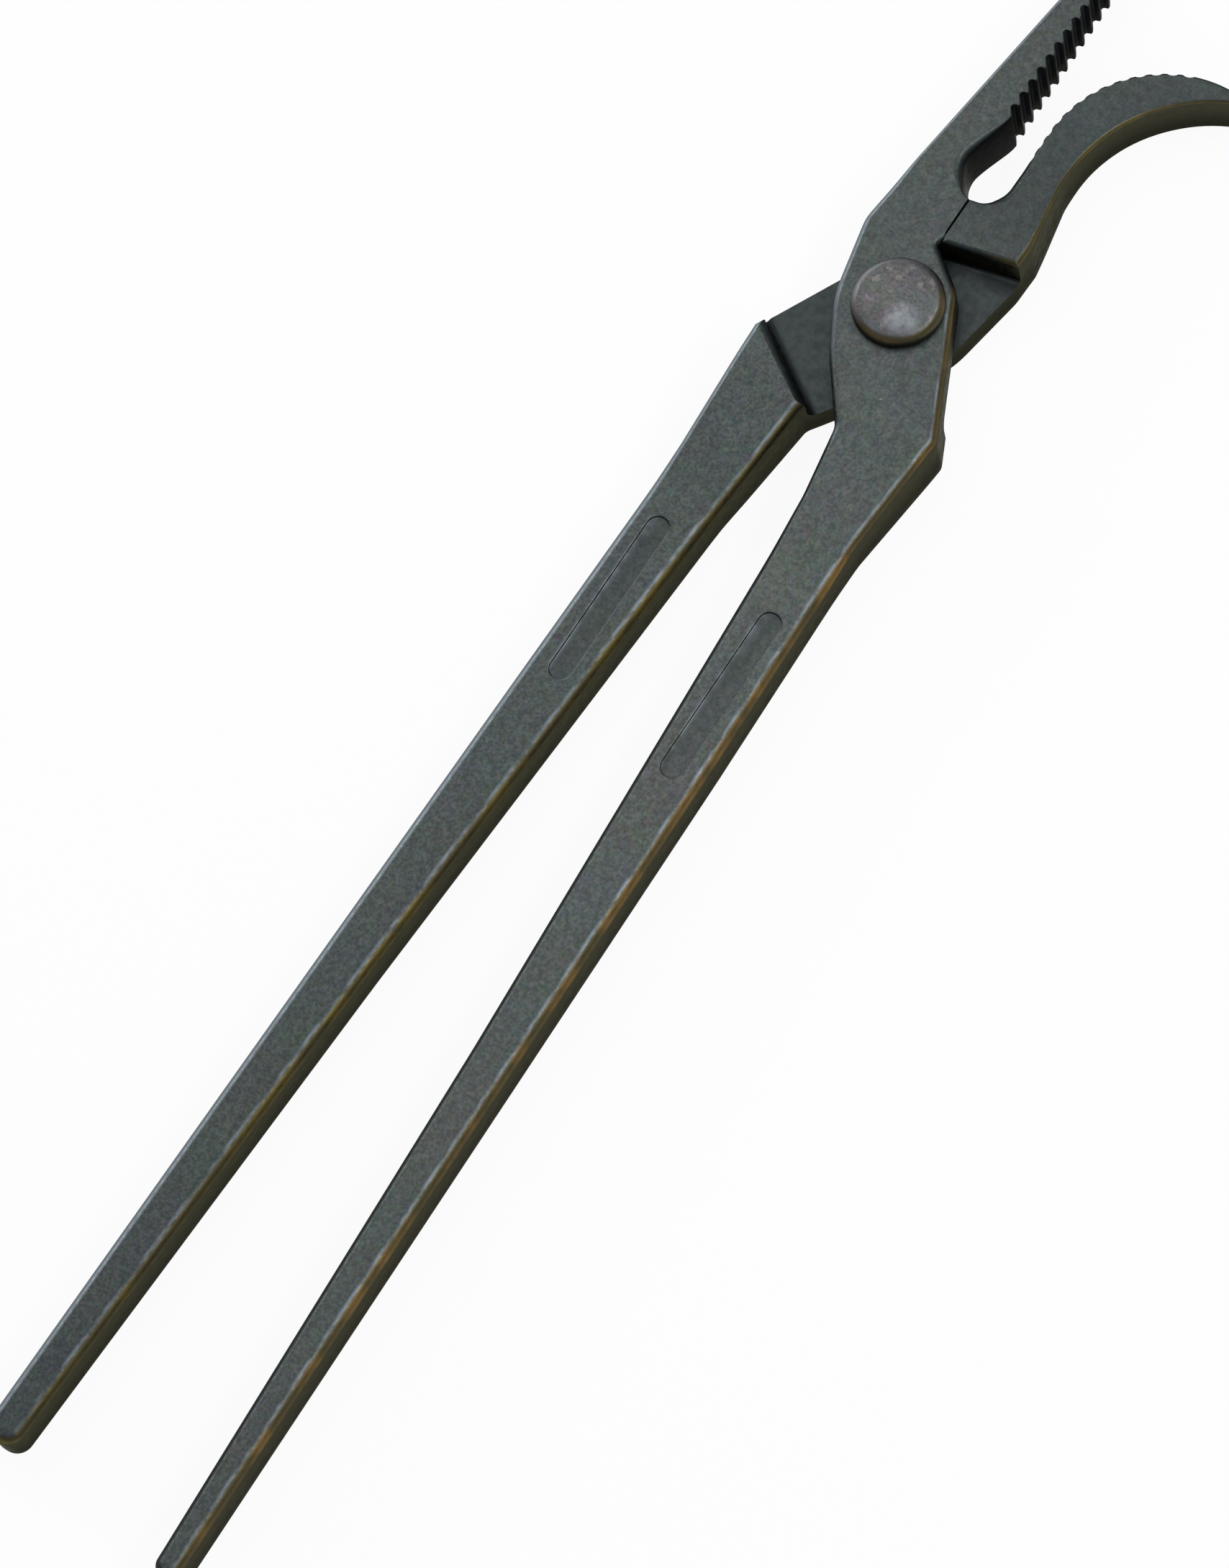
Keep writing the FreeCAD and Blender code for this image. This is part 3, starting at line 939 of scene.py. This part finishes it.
@dataclass
class Lever:
    """What the two forgings have in common."""

    node: str
    body: str
    slot: str
    finish: ForgedFinish
    boss: Boss = field(default_factory=Boss)
    handle_half: float = 5.3
    handle_round: float = 2.2
    boss_round: float = 1.7
    jaw_round: float = 1.0
    seam_round: float = 0.45
    hollow_round: float = 1.9
    tooth_round: float = 0.6
    handle_root_y: float = -54.0
    boss_end_y: float = -25.0
    belly_y: float = -97.0
    pitch: float = 3.1
    land: float = 0.3
    panel: tuple[float, float, float] = (37.5, 4.6, 0.45)
    panel_y: float = -84.4
    outline_step: float = 1.6
    mouth_step: float = 1.5
    weld: float = 0.002
    crease_deg: float = 26.0
    reach: float = 277.0
    root_inner: Point = (6.3, -43.0)
    swell_x: float = 13.3
    belly_x: float = 21.5

    def outline(self) -> list[Corner]:
        """Corners of the lever's plan as forged."""
        raise NotImplementedError

    def mouth(self) -> list[Corner]:
        """Corners of the cutter on the biting side."""
        raise NotImplementedError

    def knots(self) -> list[Point]:
        """Half thickness at the places where it changes."""
        raise NotImplementedError

    def row(self) -> ToothRow:
        """The lever's teeth."""
        raise NotImplementedError

    def edge_radius(self, x: float, y: float) -> float:
        """Rounding of the long edges, eased from handle to boss to jaw."""
        radius = self.handle_round
        radius += (self.boss_round - self.handle_round) * blended(y, -60.0, -44.0)
        radius += (self.jaw_round - self.boss_round) * blended(y, 18.0, 27.0)
        return radius

    def bite_radius(self, x: float, y: float) -> float:
        """Rounding of the edges on the biting side, from the seam to the teeth."""
        hollow = self.hollow_round - self.seam_round
        radius = self.seam_round + hollow * blended(y, self.boss.throat_y, self.boss.throat_y + 4)
        return radius + (self.tooth_round - self.hollow_round) * blended(y, 34.0, 42.0)

    def panel_middle(self, side: Side) -> Point:
        """Middle of the sunk panel, halfway between the handle's edges."""
        inner_x, inner_y = self.root_inner
        swell_y = (self.handle_root_y - self.reach) / 2
        share = (self.panel_y - inner_y) / (swell_y - inner_y)
        inner = inner_x + share * (self.swell_x - inner_x)
        return side.value * (inner + self.belly_x) / 2, self.panel_y

    def panel_cutter(self, side: Side) -> bpy.types.Object:
        """Makes the cutter for the plain round-ended panel, with a softened rim.

        Args:
            side: Side of the handle.

        Returns:
            The cutter as a scene object.
        """
        x, y = self.panel_middle(side)
        length, width, depth = self.panel
        face_z = self.boss.middle + self.handle_half
        layers = []
        for grow, z in ((-0.22, -depth), (-0.06, -depth + 0.06), (0.0, -depth + 0.2),
                        (0.02, -0.14), (0.08, -0.05), (0.22, 0.005), (0.5, 0.02), (0.5, PAST)):
            half = width / 2 + grow
            ends = length / 2 + grow
            ring = rounded_path(
                [(x + half, y - ends, 0.98 * half), (x + half, y + ends, 0.98 * half),
                 (x - half, y + ends, 0.98 * half), (x - half, y - ends, 0.98 * half)], 50.0)
            layers.append([(px, py, face_z + z) for px, py in ring])
        return stacked(self.node + "_panel", layers)

    def own_cutters(self) -> list[bpy.types.Object]:
        """Cutters for the pivot hole and for what only this lever has."""
        raise NotImplementedError

    def round_bore(self, radius: float) -> bpy.types.Object:
        """Makes the cutter for a hole on the pivot axis."""
        x, y = self.boss.pivot
        return prism(self.node + "_bore", circle(x, y, radius), -PAST, self.boss.thickness + PAST)

    def build(self, upper_void: bool, side: Side) -> bpy.types.Object:
        """Forges, cuts and dresses the lever.

        Args:
            upper_void: Whether the lap is cleared from the upper half.
            side: Side of the handle.

        Returns:
            The finished lever, at the origin and in metres.
        """
        outline = anticlockwise(rounded_path(self.outline(), self.outline_step))
        thickness = Thickness(self.boss.middle, self.knots())
        blank = Blank(outline, thickness, self.edge_radius).make(self.node + "_blank")
        bite = rounded_path(self.mouth(), self.mouth_step)
        cutters = [Mouth(bite, thickness, self.bite_radius).make(self.node + "_mouth")]
        cutters.append(self.boss.void(self.node + "_void", side, upper_void, thickness.half))
        cutters += self.own_cutters() + [self.panel_cutter(side)]
        for cutter in cutters:
            cut = blank.modifiers.new(cutter.name, "BOOLEAN")
            cut.operation, cut.solver, cut.object = "DIFFERENCE", "MANIFOLD", cutter
        finish = self.finish.material()
        helpers = self.row().cut_into(blank, finish)
        seen = blank.evaluated_get(bpy.context.evaluated_depsgraph_get())
        mesh = bpy.data.meshes.new_from_object(seen)
        for helper in cutters + helpers + [blank]:
            bpy.data.objects.remove(helper)
        piece = self.finished(mesh, finish)
        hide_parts(self.node)
        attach(piece, self.body)
        return piece

    def finished(self, mesh: bpy.types.Mesh, finish: bpy.types.Material) -> bpy.types.Object:
        """Moves a cut mesh onto the pivot, in metres, and shades it.

        Args:
            mesh: The cut mesh, in millimetres.
            finish: Its material.

        Returns:
            The finished lever.
        """
        form = bmesh.new()
        form.from_mesh(mesh)
        bmesh.ops.remove_doubles(form, verts=form.verts, dist=self.weld)
        bmesh.ops.dissolve_degenerate(form, edges=form.edges, dist=self.weld / 2)
        x, y = self.boss.pivot
        bmesh.ops.transform(
            form, verts=form.verts,
            matrix=Matrix.Scale(MM, 4) @ Matrix.Translation((-x, -y, 0.0)),
        )
        form.to_mesh(mesh)
        open_edges = sum(1 for edge in form.edges if not edge.is_manifold)
        form.free()
        mesh.materials.clear()
        mesh.materials.append(finish)
        mesh.shade_smooth()
        mesh.set_sharp_from_angle(angle=math.radians(self.crease_deg))
        piece = bpy.data.objects.new(self.node + "_forging", mesh)
        bpy.context.scene.collection.objects.link(piece)
        log.info("%s: %d faces, %d open edges", piece.name, len(mesh.polygons), open_edges)
        return piece


@dataclass
class FrontLever(Lever):
    """Upper forging: straight saw-toothed jaw on the left, handle on the right."""

    bar: tuple[float, float, Point] = (11.2, 25.6, (22.8, 2.5))
    end: tuple[float, float] = (20.75, 5.2)
    jaw_reach: float = 84.0
    tip_width: float = 4.1
    tooth_x: float = -1.2
    hollow: Point = (-4.6, 30.8)
    foot: Point = (-0.7, 24.3)
    tooth_start: float = 42.5
    tooth_count: int = 13
    tooth_depth: float = 1.2
    tooth_back_share: float = 0.68
    tooth_back_curve: float = 1.25

    def outline(self) -> list[Corner]:
        """Corners of the plan, clockwise from the jaw's tip."""
        notch_x = self.boss.seam_x - self.boss.seam_gap / 2
        end_x, width = self.end
        corners = [
            (self.tooth_x - self.tip_width, self.jaw_reach, 2.0),
            (notch_x + STOCK, self.jaw_reach, 2.0),
            (notch_x + STOCK, self.boss.jaw_root_y, 6.0),
            (notch_x, self.boss.notch_y, 1.0),
        ]
        corners += self.boss.side(*self.bar)
        corners += [
            (20.5, -47.0, 20.0),
            (self.belly_x, self.belly_y, 300.0),
            (end_x + width / 2, -self.reach, 0.46 * width),
            (end_x - width / 2, -self.reach, 0.46 * width),
            (self.swell_x, (self.handle_root_y - self.reach) / 2, 400.0),
            (*self.root_inner, 25.0),
            (4.2, -28.4, 4.0),
            (-4.6, -16.9, 25.0),
            (-10.8, -5.4, 25.0),
            (-14.2, 10.8, 9.0),
        ]
        return corners

    def mouth(self) -> list[Corner]:
        """Corners of the cutter for the seam, the throat's hollow and the toothed flat."""
        notch_x = self.boss.seam_x - self.boss.seam_gap / 2
        outside = notch_x + STOCK + PAST
        return [
            (notch_x, self.boss.notch_y, 0),
            (outside, self.boss.notch_y, 0),
            (outside, self.jaw_reach + PAST, 0),
            (self.tooth_x, self.jaw_reach + PAST, 0),
            (self.tooth_x, self.tooth_start - self.land, 12.0),
            (*self.hollow, 6.0),
            (*self.foot, 3.0),
            (notch_x, self.boss.throat_y, 0),
        ]

    def knots(self) -> list[Point]:
        """Half thickness from the handle's end to the jaw's tip."""
        return [(-400, 5.3), (self.handle_root_y, 5.3), (self.boss_end_y, 7.5),
                (self.boss.jaw_root_y, 7.5), (self.jaw_reach - 2 * self.tip_width, 5.9), (200, 5.9)]

    def row(self) -> ToothRow:
        """Hooked saw teeth: long hollow backs and steep faces towards the tip."""
        gullet = self.pitch - self.land
        root_x = gullet * self.tooth_back_share
        back = [(0.0, 0.0)]
        for k in range(1, 7):
            share = k / 6
            back.append((root_x * share, self.tooth_depth * (share ** self.tooth_back_curve)))
        face = [(root_x + 0.35, self.tooth_depth * 0.96), (root_x + 0.6, self.tooth_depth * 0.8),
                (gullet - 0.12, self.tooth_depth * 0.4), (gullet, 0.0)]
        profile = back + face + [(gullet, -PAST), (0.0, -PAST)]
        end = self.tooth_start + (self.tooth_count - 1) * self.pitch
        half = Thickness(self.boss.middle, self.knots()).half
        path = [(self.tooth_x, y, half(y)) for y in (self.tooth_start, end)]
        return ToothRow("saw_teeth", self.tooth_count, path, profile, self.boss.middle)

    def own_cutters(self) -> list[bpy.types.Object]:
        """The running bore."""
        return [self.round_bore(self.boss.shank_radius + self.boss.clearance)]


@dataclass
class RearLever(Lever):
    """Lower forging: handle on the left, goose-neck jaw with rounded teeth on the right."""

    bar: tuple[float, float, Point] = (11.6, 27.9, (20.5, 2.0))
    knee_lean_deg: float = 20.0
    knee_run: float = 40.0
    knee_overlap: float = 0.4
    panel_y: float = -79.0
    reach: float = 272.9
    root_inner: Point = (5.8, -54.0)
    swell_x: float = 11.4
    belly_x: float = 20.5
    end: tuple[float, float] = (19.6, 7.3)
    neck_inner_x: float = 6.1
    neck_outer_x: float = 14.7
    beak: tuple[float, float, float] = (34.5, 68.9, 1.9)
    inner_bend: float = 24.9
    hollow: Point = (6.35, 29.0)
    foot: Point = (4.4, 24.4)
    outer_bend: float = 30.3
    droop_deg: float = 20.9
    beak_round: float = 0.7
    tooth_start: float = 36.2
    tooth_count: int = 13
    tooth_depth: float = 0.55

    def outline(self) -> list[Corner]:
        """Corners of the plan, clockwise from above the neck."""
        notch_x = self.boss.seam_x + self.boss.seam_gap / 2
        beak_x, beak_y, tip = self.beak
        droop = math.radians(self.droop_deg)
        run = self.outer_bend * math.tan((math.pi / 2 - droop) / 2)
        low_y = beak_y - tip
        elbow_y = low_y - (beak_x - self.neck_outer_x) * math.tan(droop)
        end_x, width = self.end
        left = self.boss.side(*self.bar)
        left += [
            (19.6, -46.0, 30.0),
            (self.belly_x, self.belly_y, 300.0),
            (end_x + width / 2, -self.reach, 0.46 * width),
            (end_x - width / 2, -self.reach, 0.46 * width),
        ]
        corners = [
            (notch_x - STOCK, beak_y + STOCK, 2.0),
            (beak_x, beak_y + STOCK, 1.2),
            (beak_x, low_y, 0.8),
            (self.neck_outer_x, elbow_y, self.outer_bend),
            (self.neck_outer_x - 0.3, elbow_y - run - 3.0, 12.0),
            (16.9, 21.0, 5.0),
            (16.7, 14.5, 12.0),
            (13.4, -3.5, 20.0),
            (4.6, -16.9, 25.0),
            (-3.6, -28.4, 3.0),
            (-self.root_inner[0], self.root_inner[1], 60.0),
            (-self.swell_x, (self.handle_root_y - self.reach) / 2, 600.0),
        ]
        corners += [(-x, y, radius) for x, y, radius in reversed(left)]
        corners += [(notch_x, self.boss.notch_y, 1.0), (notch_x - STOCK, self.boss.jaw_root_y, 6.0)]
        return corners

    def mouth(self) -> list[Corner]:
        """Corners of the cutter for the seam, the throat and the toothed bend."""
        notch_x = self.boss.seam_x + self.boss.seam_gap / 2
        outside = notch_x - STOCK - PAST
        beak_x, beak_y, _ = self.beak
        return [
            (notch_x, self.boss.notch_y, 0),
            (notch_x, self.boss.throat_y, 0),
            (*self.foot, 3.0),
            (*self.hollow, 6.0),
            (self.neck_inner_x, beak_y, self.inner_bend),
            (beak_x + PAST, beak_y, 0),
            (beak_x + PAST, beak_y + STOCK + PAST, 0),
            (outside, beak_y + STOCK + PAST, 0),
            (outside, self.boss.notch_y, 0),
        ]

    def knots(self) -> list[Point]:
        """Half thickness from the handle's end to the beak."""
        thin_y = self.beak[1] - self.inner_bend
        return [(-400, 5.3), (self.handle_root_y, 5.3), (self.boss_end_y, 7.5),
                (self.boss.jaw_root_y, 7.5), (thin_y, 5.6), (200, 5.6)]

    def edge_radius(self, x: float, y: float) -> float:
        """Rounding of the long edges, finest on the beak."""
        radius = super().edge_radius(x, y)
        if y > self.boss.jaw_root_y:
            radius += (self.beak_round - radius) * blended(x, 17.0, 24.0)
        return radius

    def row(self) -> ToothRow:
        """Rounded teeth: shallow scallops up the neck and round the bend."""
        chord = self.pitch - self.land
        radius = (chord ** 2 / 4 + self.tooth_depth ** 2) / (2 * self.tooth_depth)
        profile = circle(0.0, radius - self.tooth_depth, radius, 96)
        bend_y = self.beak[1] - self.inner_bend
        first = self.tooth_start + self.pitch / 2
        length = (self.tooth_count - 1) * self.pitch
        half = Thickness(self.boss.middle, self.knots()).half
        path = []
        for k in range(241):
            along = first + length * k / 240 - bend_y
            turn = max(along, 0.0) / self.inner_bend
            y = bend_y + min(along, 0.0) + self.inner_bend * math.sin(turn)
            path.append((self.neck_inner_x + self.inner_bend * (1 - math.cos(turn)), y, half(y)))
        return ToothRow("scallop_teeth", self.tooth_count, path, profile, self.boss.middle, 0.2)

    def knee_cutter(self) -> bpy.types.Object:
        """Makes the cutter that leans the knee inwards above the lap, its upper edge rounded.

        Returns:
            The cutter as a scene object.
        """
        half_width, slant_deg, _ = self.bar
        slant, lean = math.radians(slant_deg), math.radians(self.knee_lean_deg)
        outwards = Vector((-math.cos(slant), math.sin(slant)))
        onwards = Vector((-math.sin(slant), -math.cos(slant)))
        half, radius = self.boss.middle, self.boss_round
        up = (half - radius + radius * math.sin(lean)) / math.cos(lean)
        centre = -up * math.sin(lean) - radius * math.cos(lean)
        profile = [(0.0, 0.0), (-up * math.sin(lean), up * math.cos(lean))]
        for k in range(1, 7):
            turn = lean + (math.pi / 2 - 0.03 - lean) * k / 6
            profile.append((centre + radius * math.cos(turn),
                            half - radius + radius * math.sin(turn)))
        profile.append((centre - self.knee_overlap, half + 0.05))
        profile.append((centre - self.knee_overlap, half + PAST))
        layers = []
        for out, lift in profile:
            near, far = outwards * (half_width + out), outwards * (half_width + STOCK)
            run = onwards * self.knee_run
            ring = [tuple(p) for p in (near, far, far + run, near + run)]
            layers.append([(x, y, half + lift) for x, y in anticlockwise(ring)])
        return stacked(self.node + "_knee", layers)

    def own_cutters(self) -> list[bpy.types.Object]:
        """The tight bore with the countersink for the rivet's tail, and the knee's lean."""
        x, y = self.boss.pivot
        tail, shank, depth = self.boss.tail_radius, self.boss.shank_radius, self.boss.tail_depth
        cone = ((-1.0, tail + (tail - shank) / depth), (depth, shank), (20.0, shank))
        layers = [[(px, py, z) for px, py in circle(x, y, radius)] for z, radius in cone]
        return [stacked(self.node + "_bore", layers), self.knee_cutter()]


@dataclass
class PivotRivet:
    """Rivet with a low, nearly flat head and a tail peened flush into the rear lever."""

    finish: ForgedFinish
    node: str = "pivot_rivet"
    body: str = "rear_lever_body"
    slot: str = "rivet_steel"
    seat_z: float = 15.1
    head_radius: float = 9.1
    rim: float = 1.1
    shoulder_run: float = 1.8
    shoulder_rise: float = 1.9
    rise: float = 0.7
    shank_radius: float = 5.0
    tail_radius: float = 6.5
    tail_depth: float = 2.2
    shoulder_turn_deg: float = 78.0
    shoulder_steps: int = 11
    shoulder_tuck: float = 0.3
    crown_steps: int = 12
    round_steps: int = 120
    crease_deg: float = 50.0

    def build(self) -> bpy.types.Object:
        """Turns the rivet's profile and dresses it.

        Returns:
            The finished rivet, at the origin and in metres.
        """
        profile: list[Point] = [(0.0, 0.0), (3.0, 0.0), (self.tail_radius - 0.3, 0.0)]
        profile += [(self.tail_radius - 0.05, 0.04), (self.shank_radius, self.tail_depth)]
        profile += [(self.shank_radius, 8.0), (self.shank_radius, self.seat_z)]
        edge, seat = self.head_radius, self.seat_z
        profile += [(edge - 0.5, seat), (edge - 0.12, seat + 0.12)]
        profile += [(edge, seat + 0.5), (edge, seat + self.rim)]
        top = self.seat_z + self.rim + self.shoulder_rise
        flat = self.head_radius - self.shoulder_run
        count = self.shoulder_steps
        for k in range(1, count + 1):
            angle = math.radians(self.shoulder_turn_deg * k / count)
            profile.append((
                flat + self.shoulder_run * math.cos(angle) - self.shoulder_tuck * k / count,
                top - self.shoulder_rise * (1 - math.sin(angle)),
            ))
        start_r, start_z = profile[-1]
        crown = self.seat_z + self.rim + self.shoulder_rise + self.rise
        for k in range(1, self.crown_steps + 1):
            share = 1 - k / self.crown_steps
            profile.append((start_r * share, crown - (crown - start_z) * share ** 2))
        piece = revolved("rivet_headed", [(r * MM, z * MM) for r, z in profile], self.round_steps)
        piece.data.materials.append(self.finish.material())
        piece.data.shade_smooth()
        piece.data.set_sharp_from_angle(angle=math.radians(self.crease_deg))
        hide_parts(self.node)
        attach(piece, self.body)
        log.info("%s: %d faces", piece.name, len(piece.data.polygons))
        return piece


@dataclass
class Studio:
    """Plain white table and backdrop under soft lamps."""

    floor_half: float = 3.0
    world: float = 0.45
    glow_share: float = 0.93
    paper_hex: str = "f4f4f4"
    air_hex: str = "dfe4ea"

    def white(self) -> bpy.types.Material:
        """Builds the table's paper white, seen as white with only a trace of shadow.

        Returns:
            The material.
        """
        made = bpy.data.materials.new("matt_white_paper")
        made.use_nodes = True
        tree = made.node_tree
        tree.nodes.clear()
        seen = add_node(tree, "ShaderNodeLightPath").outputs
        direct = add_node(tree, "ShaderNodeMath", {"operation": "MAXIMUM"},
                          {0: seen["Is Camera Ray"], 1: seen["Is Glossy Ray"]})
        through = add_node(tree, "ShaderNodeMath", {"operation": "MAXIMUM"},
                           {0: direct.outputs[0], 1: seen["Is Transmission Ray"]})
        share = add_node(tree, "ShaderNodeMath", {"operation": "MULTIPLY", "in:1": self.glow_share},
                         {0: through.outputs[0]})
        paper = add_node(tree, "ShaderNodeBsdfDiffuse", {"in:Color": linear(self.paper_hex)})
        glow = add_node(tree, "ShaderNodeEmission", {"in:Strength": 1.0})
        mix = add_node(tree, "ShaderNodeMixShader", {},
                       {0: share.outputs[0], 1: paper.outputs[0], 2: glow.outputs[0]})
        add_node(tree, "ShaderNodeOutputMaterial", {}, {"Surface": mix.outputs[0]})
        return made

    def lamp(self, name: str, place: tuple, target: tuple, size: Point, watts: float) -> None:
        """Hangs one soft rectangular lamp.

        Args:
            name: Name of the lamp.
            place: Where it hangs, in metres.
            target: Point that it faces.
            size: Its width and height.
            watts: Its power.
        """
        data = bpy.data.lights.new(name, "AREA")
        data.shape, data.size, data.size_y, data.energy = "RECTANGLE", size[0], size[1], watts
        made = bpy.data.objects.new(name, data)
        made.location = place
        made.rotation_euler = (Vector(target) - Vector(place)).to_track_quat("-Z", "Y").to_euler()
        bpy.context.scene.collection.objects.link(made)

    def build(self) -> None:
        """Lays the table and hangs the lamps."""
        half = self.floor_half
        floor = mesh_object(
            "table", [(-half, -half, 0), (half, -half, 0), (half, half, 0), (-half, half, 0)],
            [(0, 1, 2, 3)],
        )
        floor.data.materials.append(self.white())
        world = bpy.data.worlds.new("studio_air")
        bpy.context.scene.world = world
        world.use_nodes = True
        tree = world.node_tree
        tree.nodes.clear()
        seen = add_node(tree, "ShaderNodeLightPath").outputs["Is Camera Ray"]
        air = add_node(tree, "ShaderNodeBackground",
                       {"in:Color": linear(self.air_hex), "in:Strength": self.world})
        white = add_node(tree, "ShaderNodeBackground", {"in:Strength": 1.0})
        mix = add_node(tree, "ShaderNodeMixShader", {},
                       {0: seen, 1: air.outputs[0], 2: white.outputs[0]})
        add_node(tree, "ShaderNodeOutputWorld", {}, {"Surface": mix.outputs[0]})
        self.lamp("softbox_above", (-0.35, 0.30, 1.00), (0, -0.05, 0), (1.0, 0.9), 3.6)
        self.lamp("strip_right", (0.50, 0.10, 0.70), (0, -0.05, 0), (0.9, 0.12), 3.0)
        self.lamp("strip_left", (-0.85, 0.10, 0.33), (0, -0.05, 0), (0.9, 0.12), 3.0)


@dataclass
class PhotoCamera:
    """The photograph's point of view."""

    place: tuple = (314.94, -327.58, 1013.93)
    forward: tuple = (-0.28840, 0.20529, -0.93524)
    up: tuple = (-0.48738, 0.80927, 0.32793)
    lens: float = 132.11
    film: float = 36.0

    def build(self) -> None:
        """Sets the camera up and makes it the scene's own."""
        data = bpy.data.cameras.new("photo_view")
        data.sensor_fit = "VERTICAL"
        data.sensor_height = self.film
        data.lens = self.lens
        data.clip_start, data.clip_end = 0.05, 20.0
        camera = bpy.data.objects.new("photo_view", data)
        back = -Vector(self.forward).normalized()
        right = Vector(self.up).cross(back).normalized()
        above = back.cross(right)
        turned = Matrix((right, above, back)).transposed().to_4x4()
        camera.matrix_world = Matrix.Translation(Vector(self.place) * MM) @ turned
        bpy.context.scene.collection.objects.link(camera)
        bpy.context.scene.camera = camera


def main() -> None:
    """Builds the scene piece by piece."""
    logging.basicConfig(level=logging.INFO, format="%(name)s: %(message)s")
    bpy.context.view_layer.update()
    PhotoCamera().build()
    Studio().build()
    # Drop-forged carbon steel, heated and oiled: a matt dark skin with faint cool and warm clouds.
    FrontLever("front_lever", "front_lever_body", "front_lever_steel", ForgedFinish(
        "forged_steel_dark_oxide_front", seed=3.0, back_sheen_mm=(-26.0, 400.0),
        jaw_shade_from_mm=10.0, jaw_darkening_mm=(-45.0, 5.0), oxide=0.3,
    )).build(False, Side.RIGHT)
    RearLever("rear_lever", "rear_lever_body", "rear_lever_steel", ForgedFinish(
        "forged_steel_dark_oxide_rear", flat_hex="545a58", flat_dark_hex="434847",
        rust_hex="6c5f36", seed=11.0, back_sheen_mm=(-400.0, -10.0), oxide=0.5,
        highlight_to_mm=-10.0, shoulder_mm=(8.0, 17.0),
    )).build(True, Side.LEFT)
    # The rivet's head was struck and handled, so its crown is paler and a little warmer; a pale
    # painted highlight spot sits off the middle of its crown.
    PivotRivet(ForgedFinish(
        "headed_rivet_steel_rubbed_oxide_painted_highlight", flat_hex="666766", flat_dark_hex="535553",
        lap_hex="565452", wall_shade_hex="52524c", foot_shade_hex="45453f", highlight_hex="7f8184",
        rust_hex="75624a", seed=23.0,
        cloud_mm=3.0, mottle_mm=1.1, speck_hex="8d8585", speck_mm=1.6, speck_from=0.56,
        highlight_spot_mm=(3.5, -3.3, 18.5),
    )).build()
    bpy.context.scene.view_settings.view_transform = "Standard"


if __name__ == "__main__":
    main()
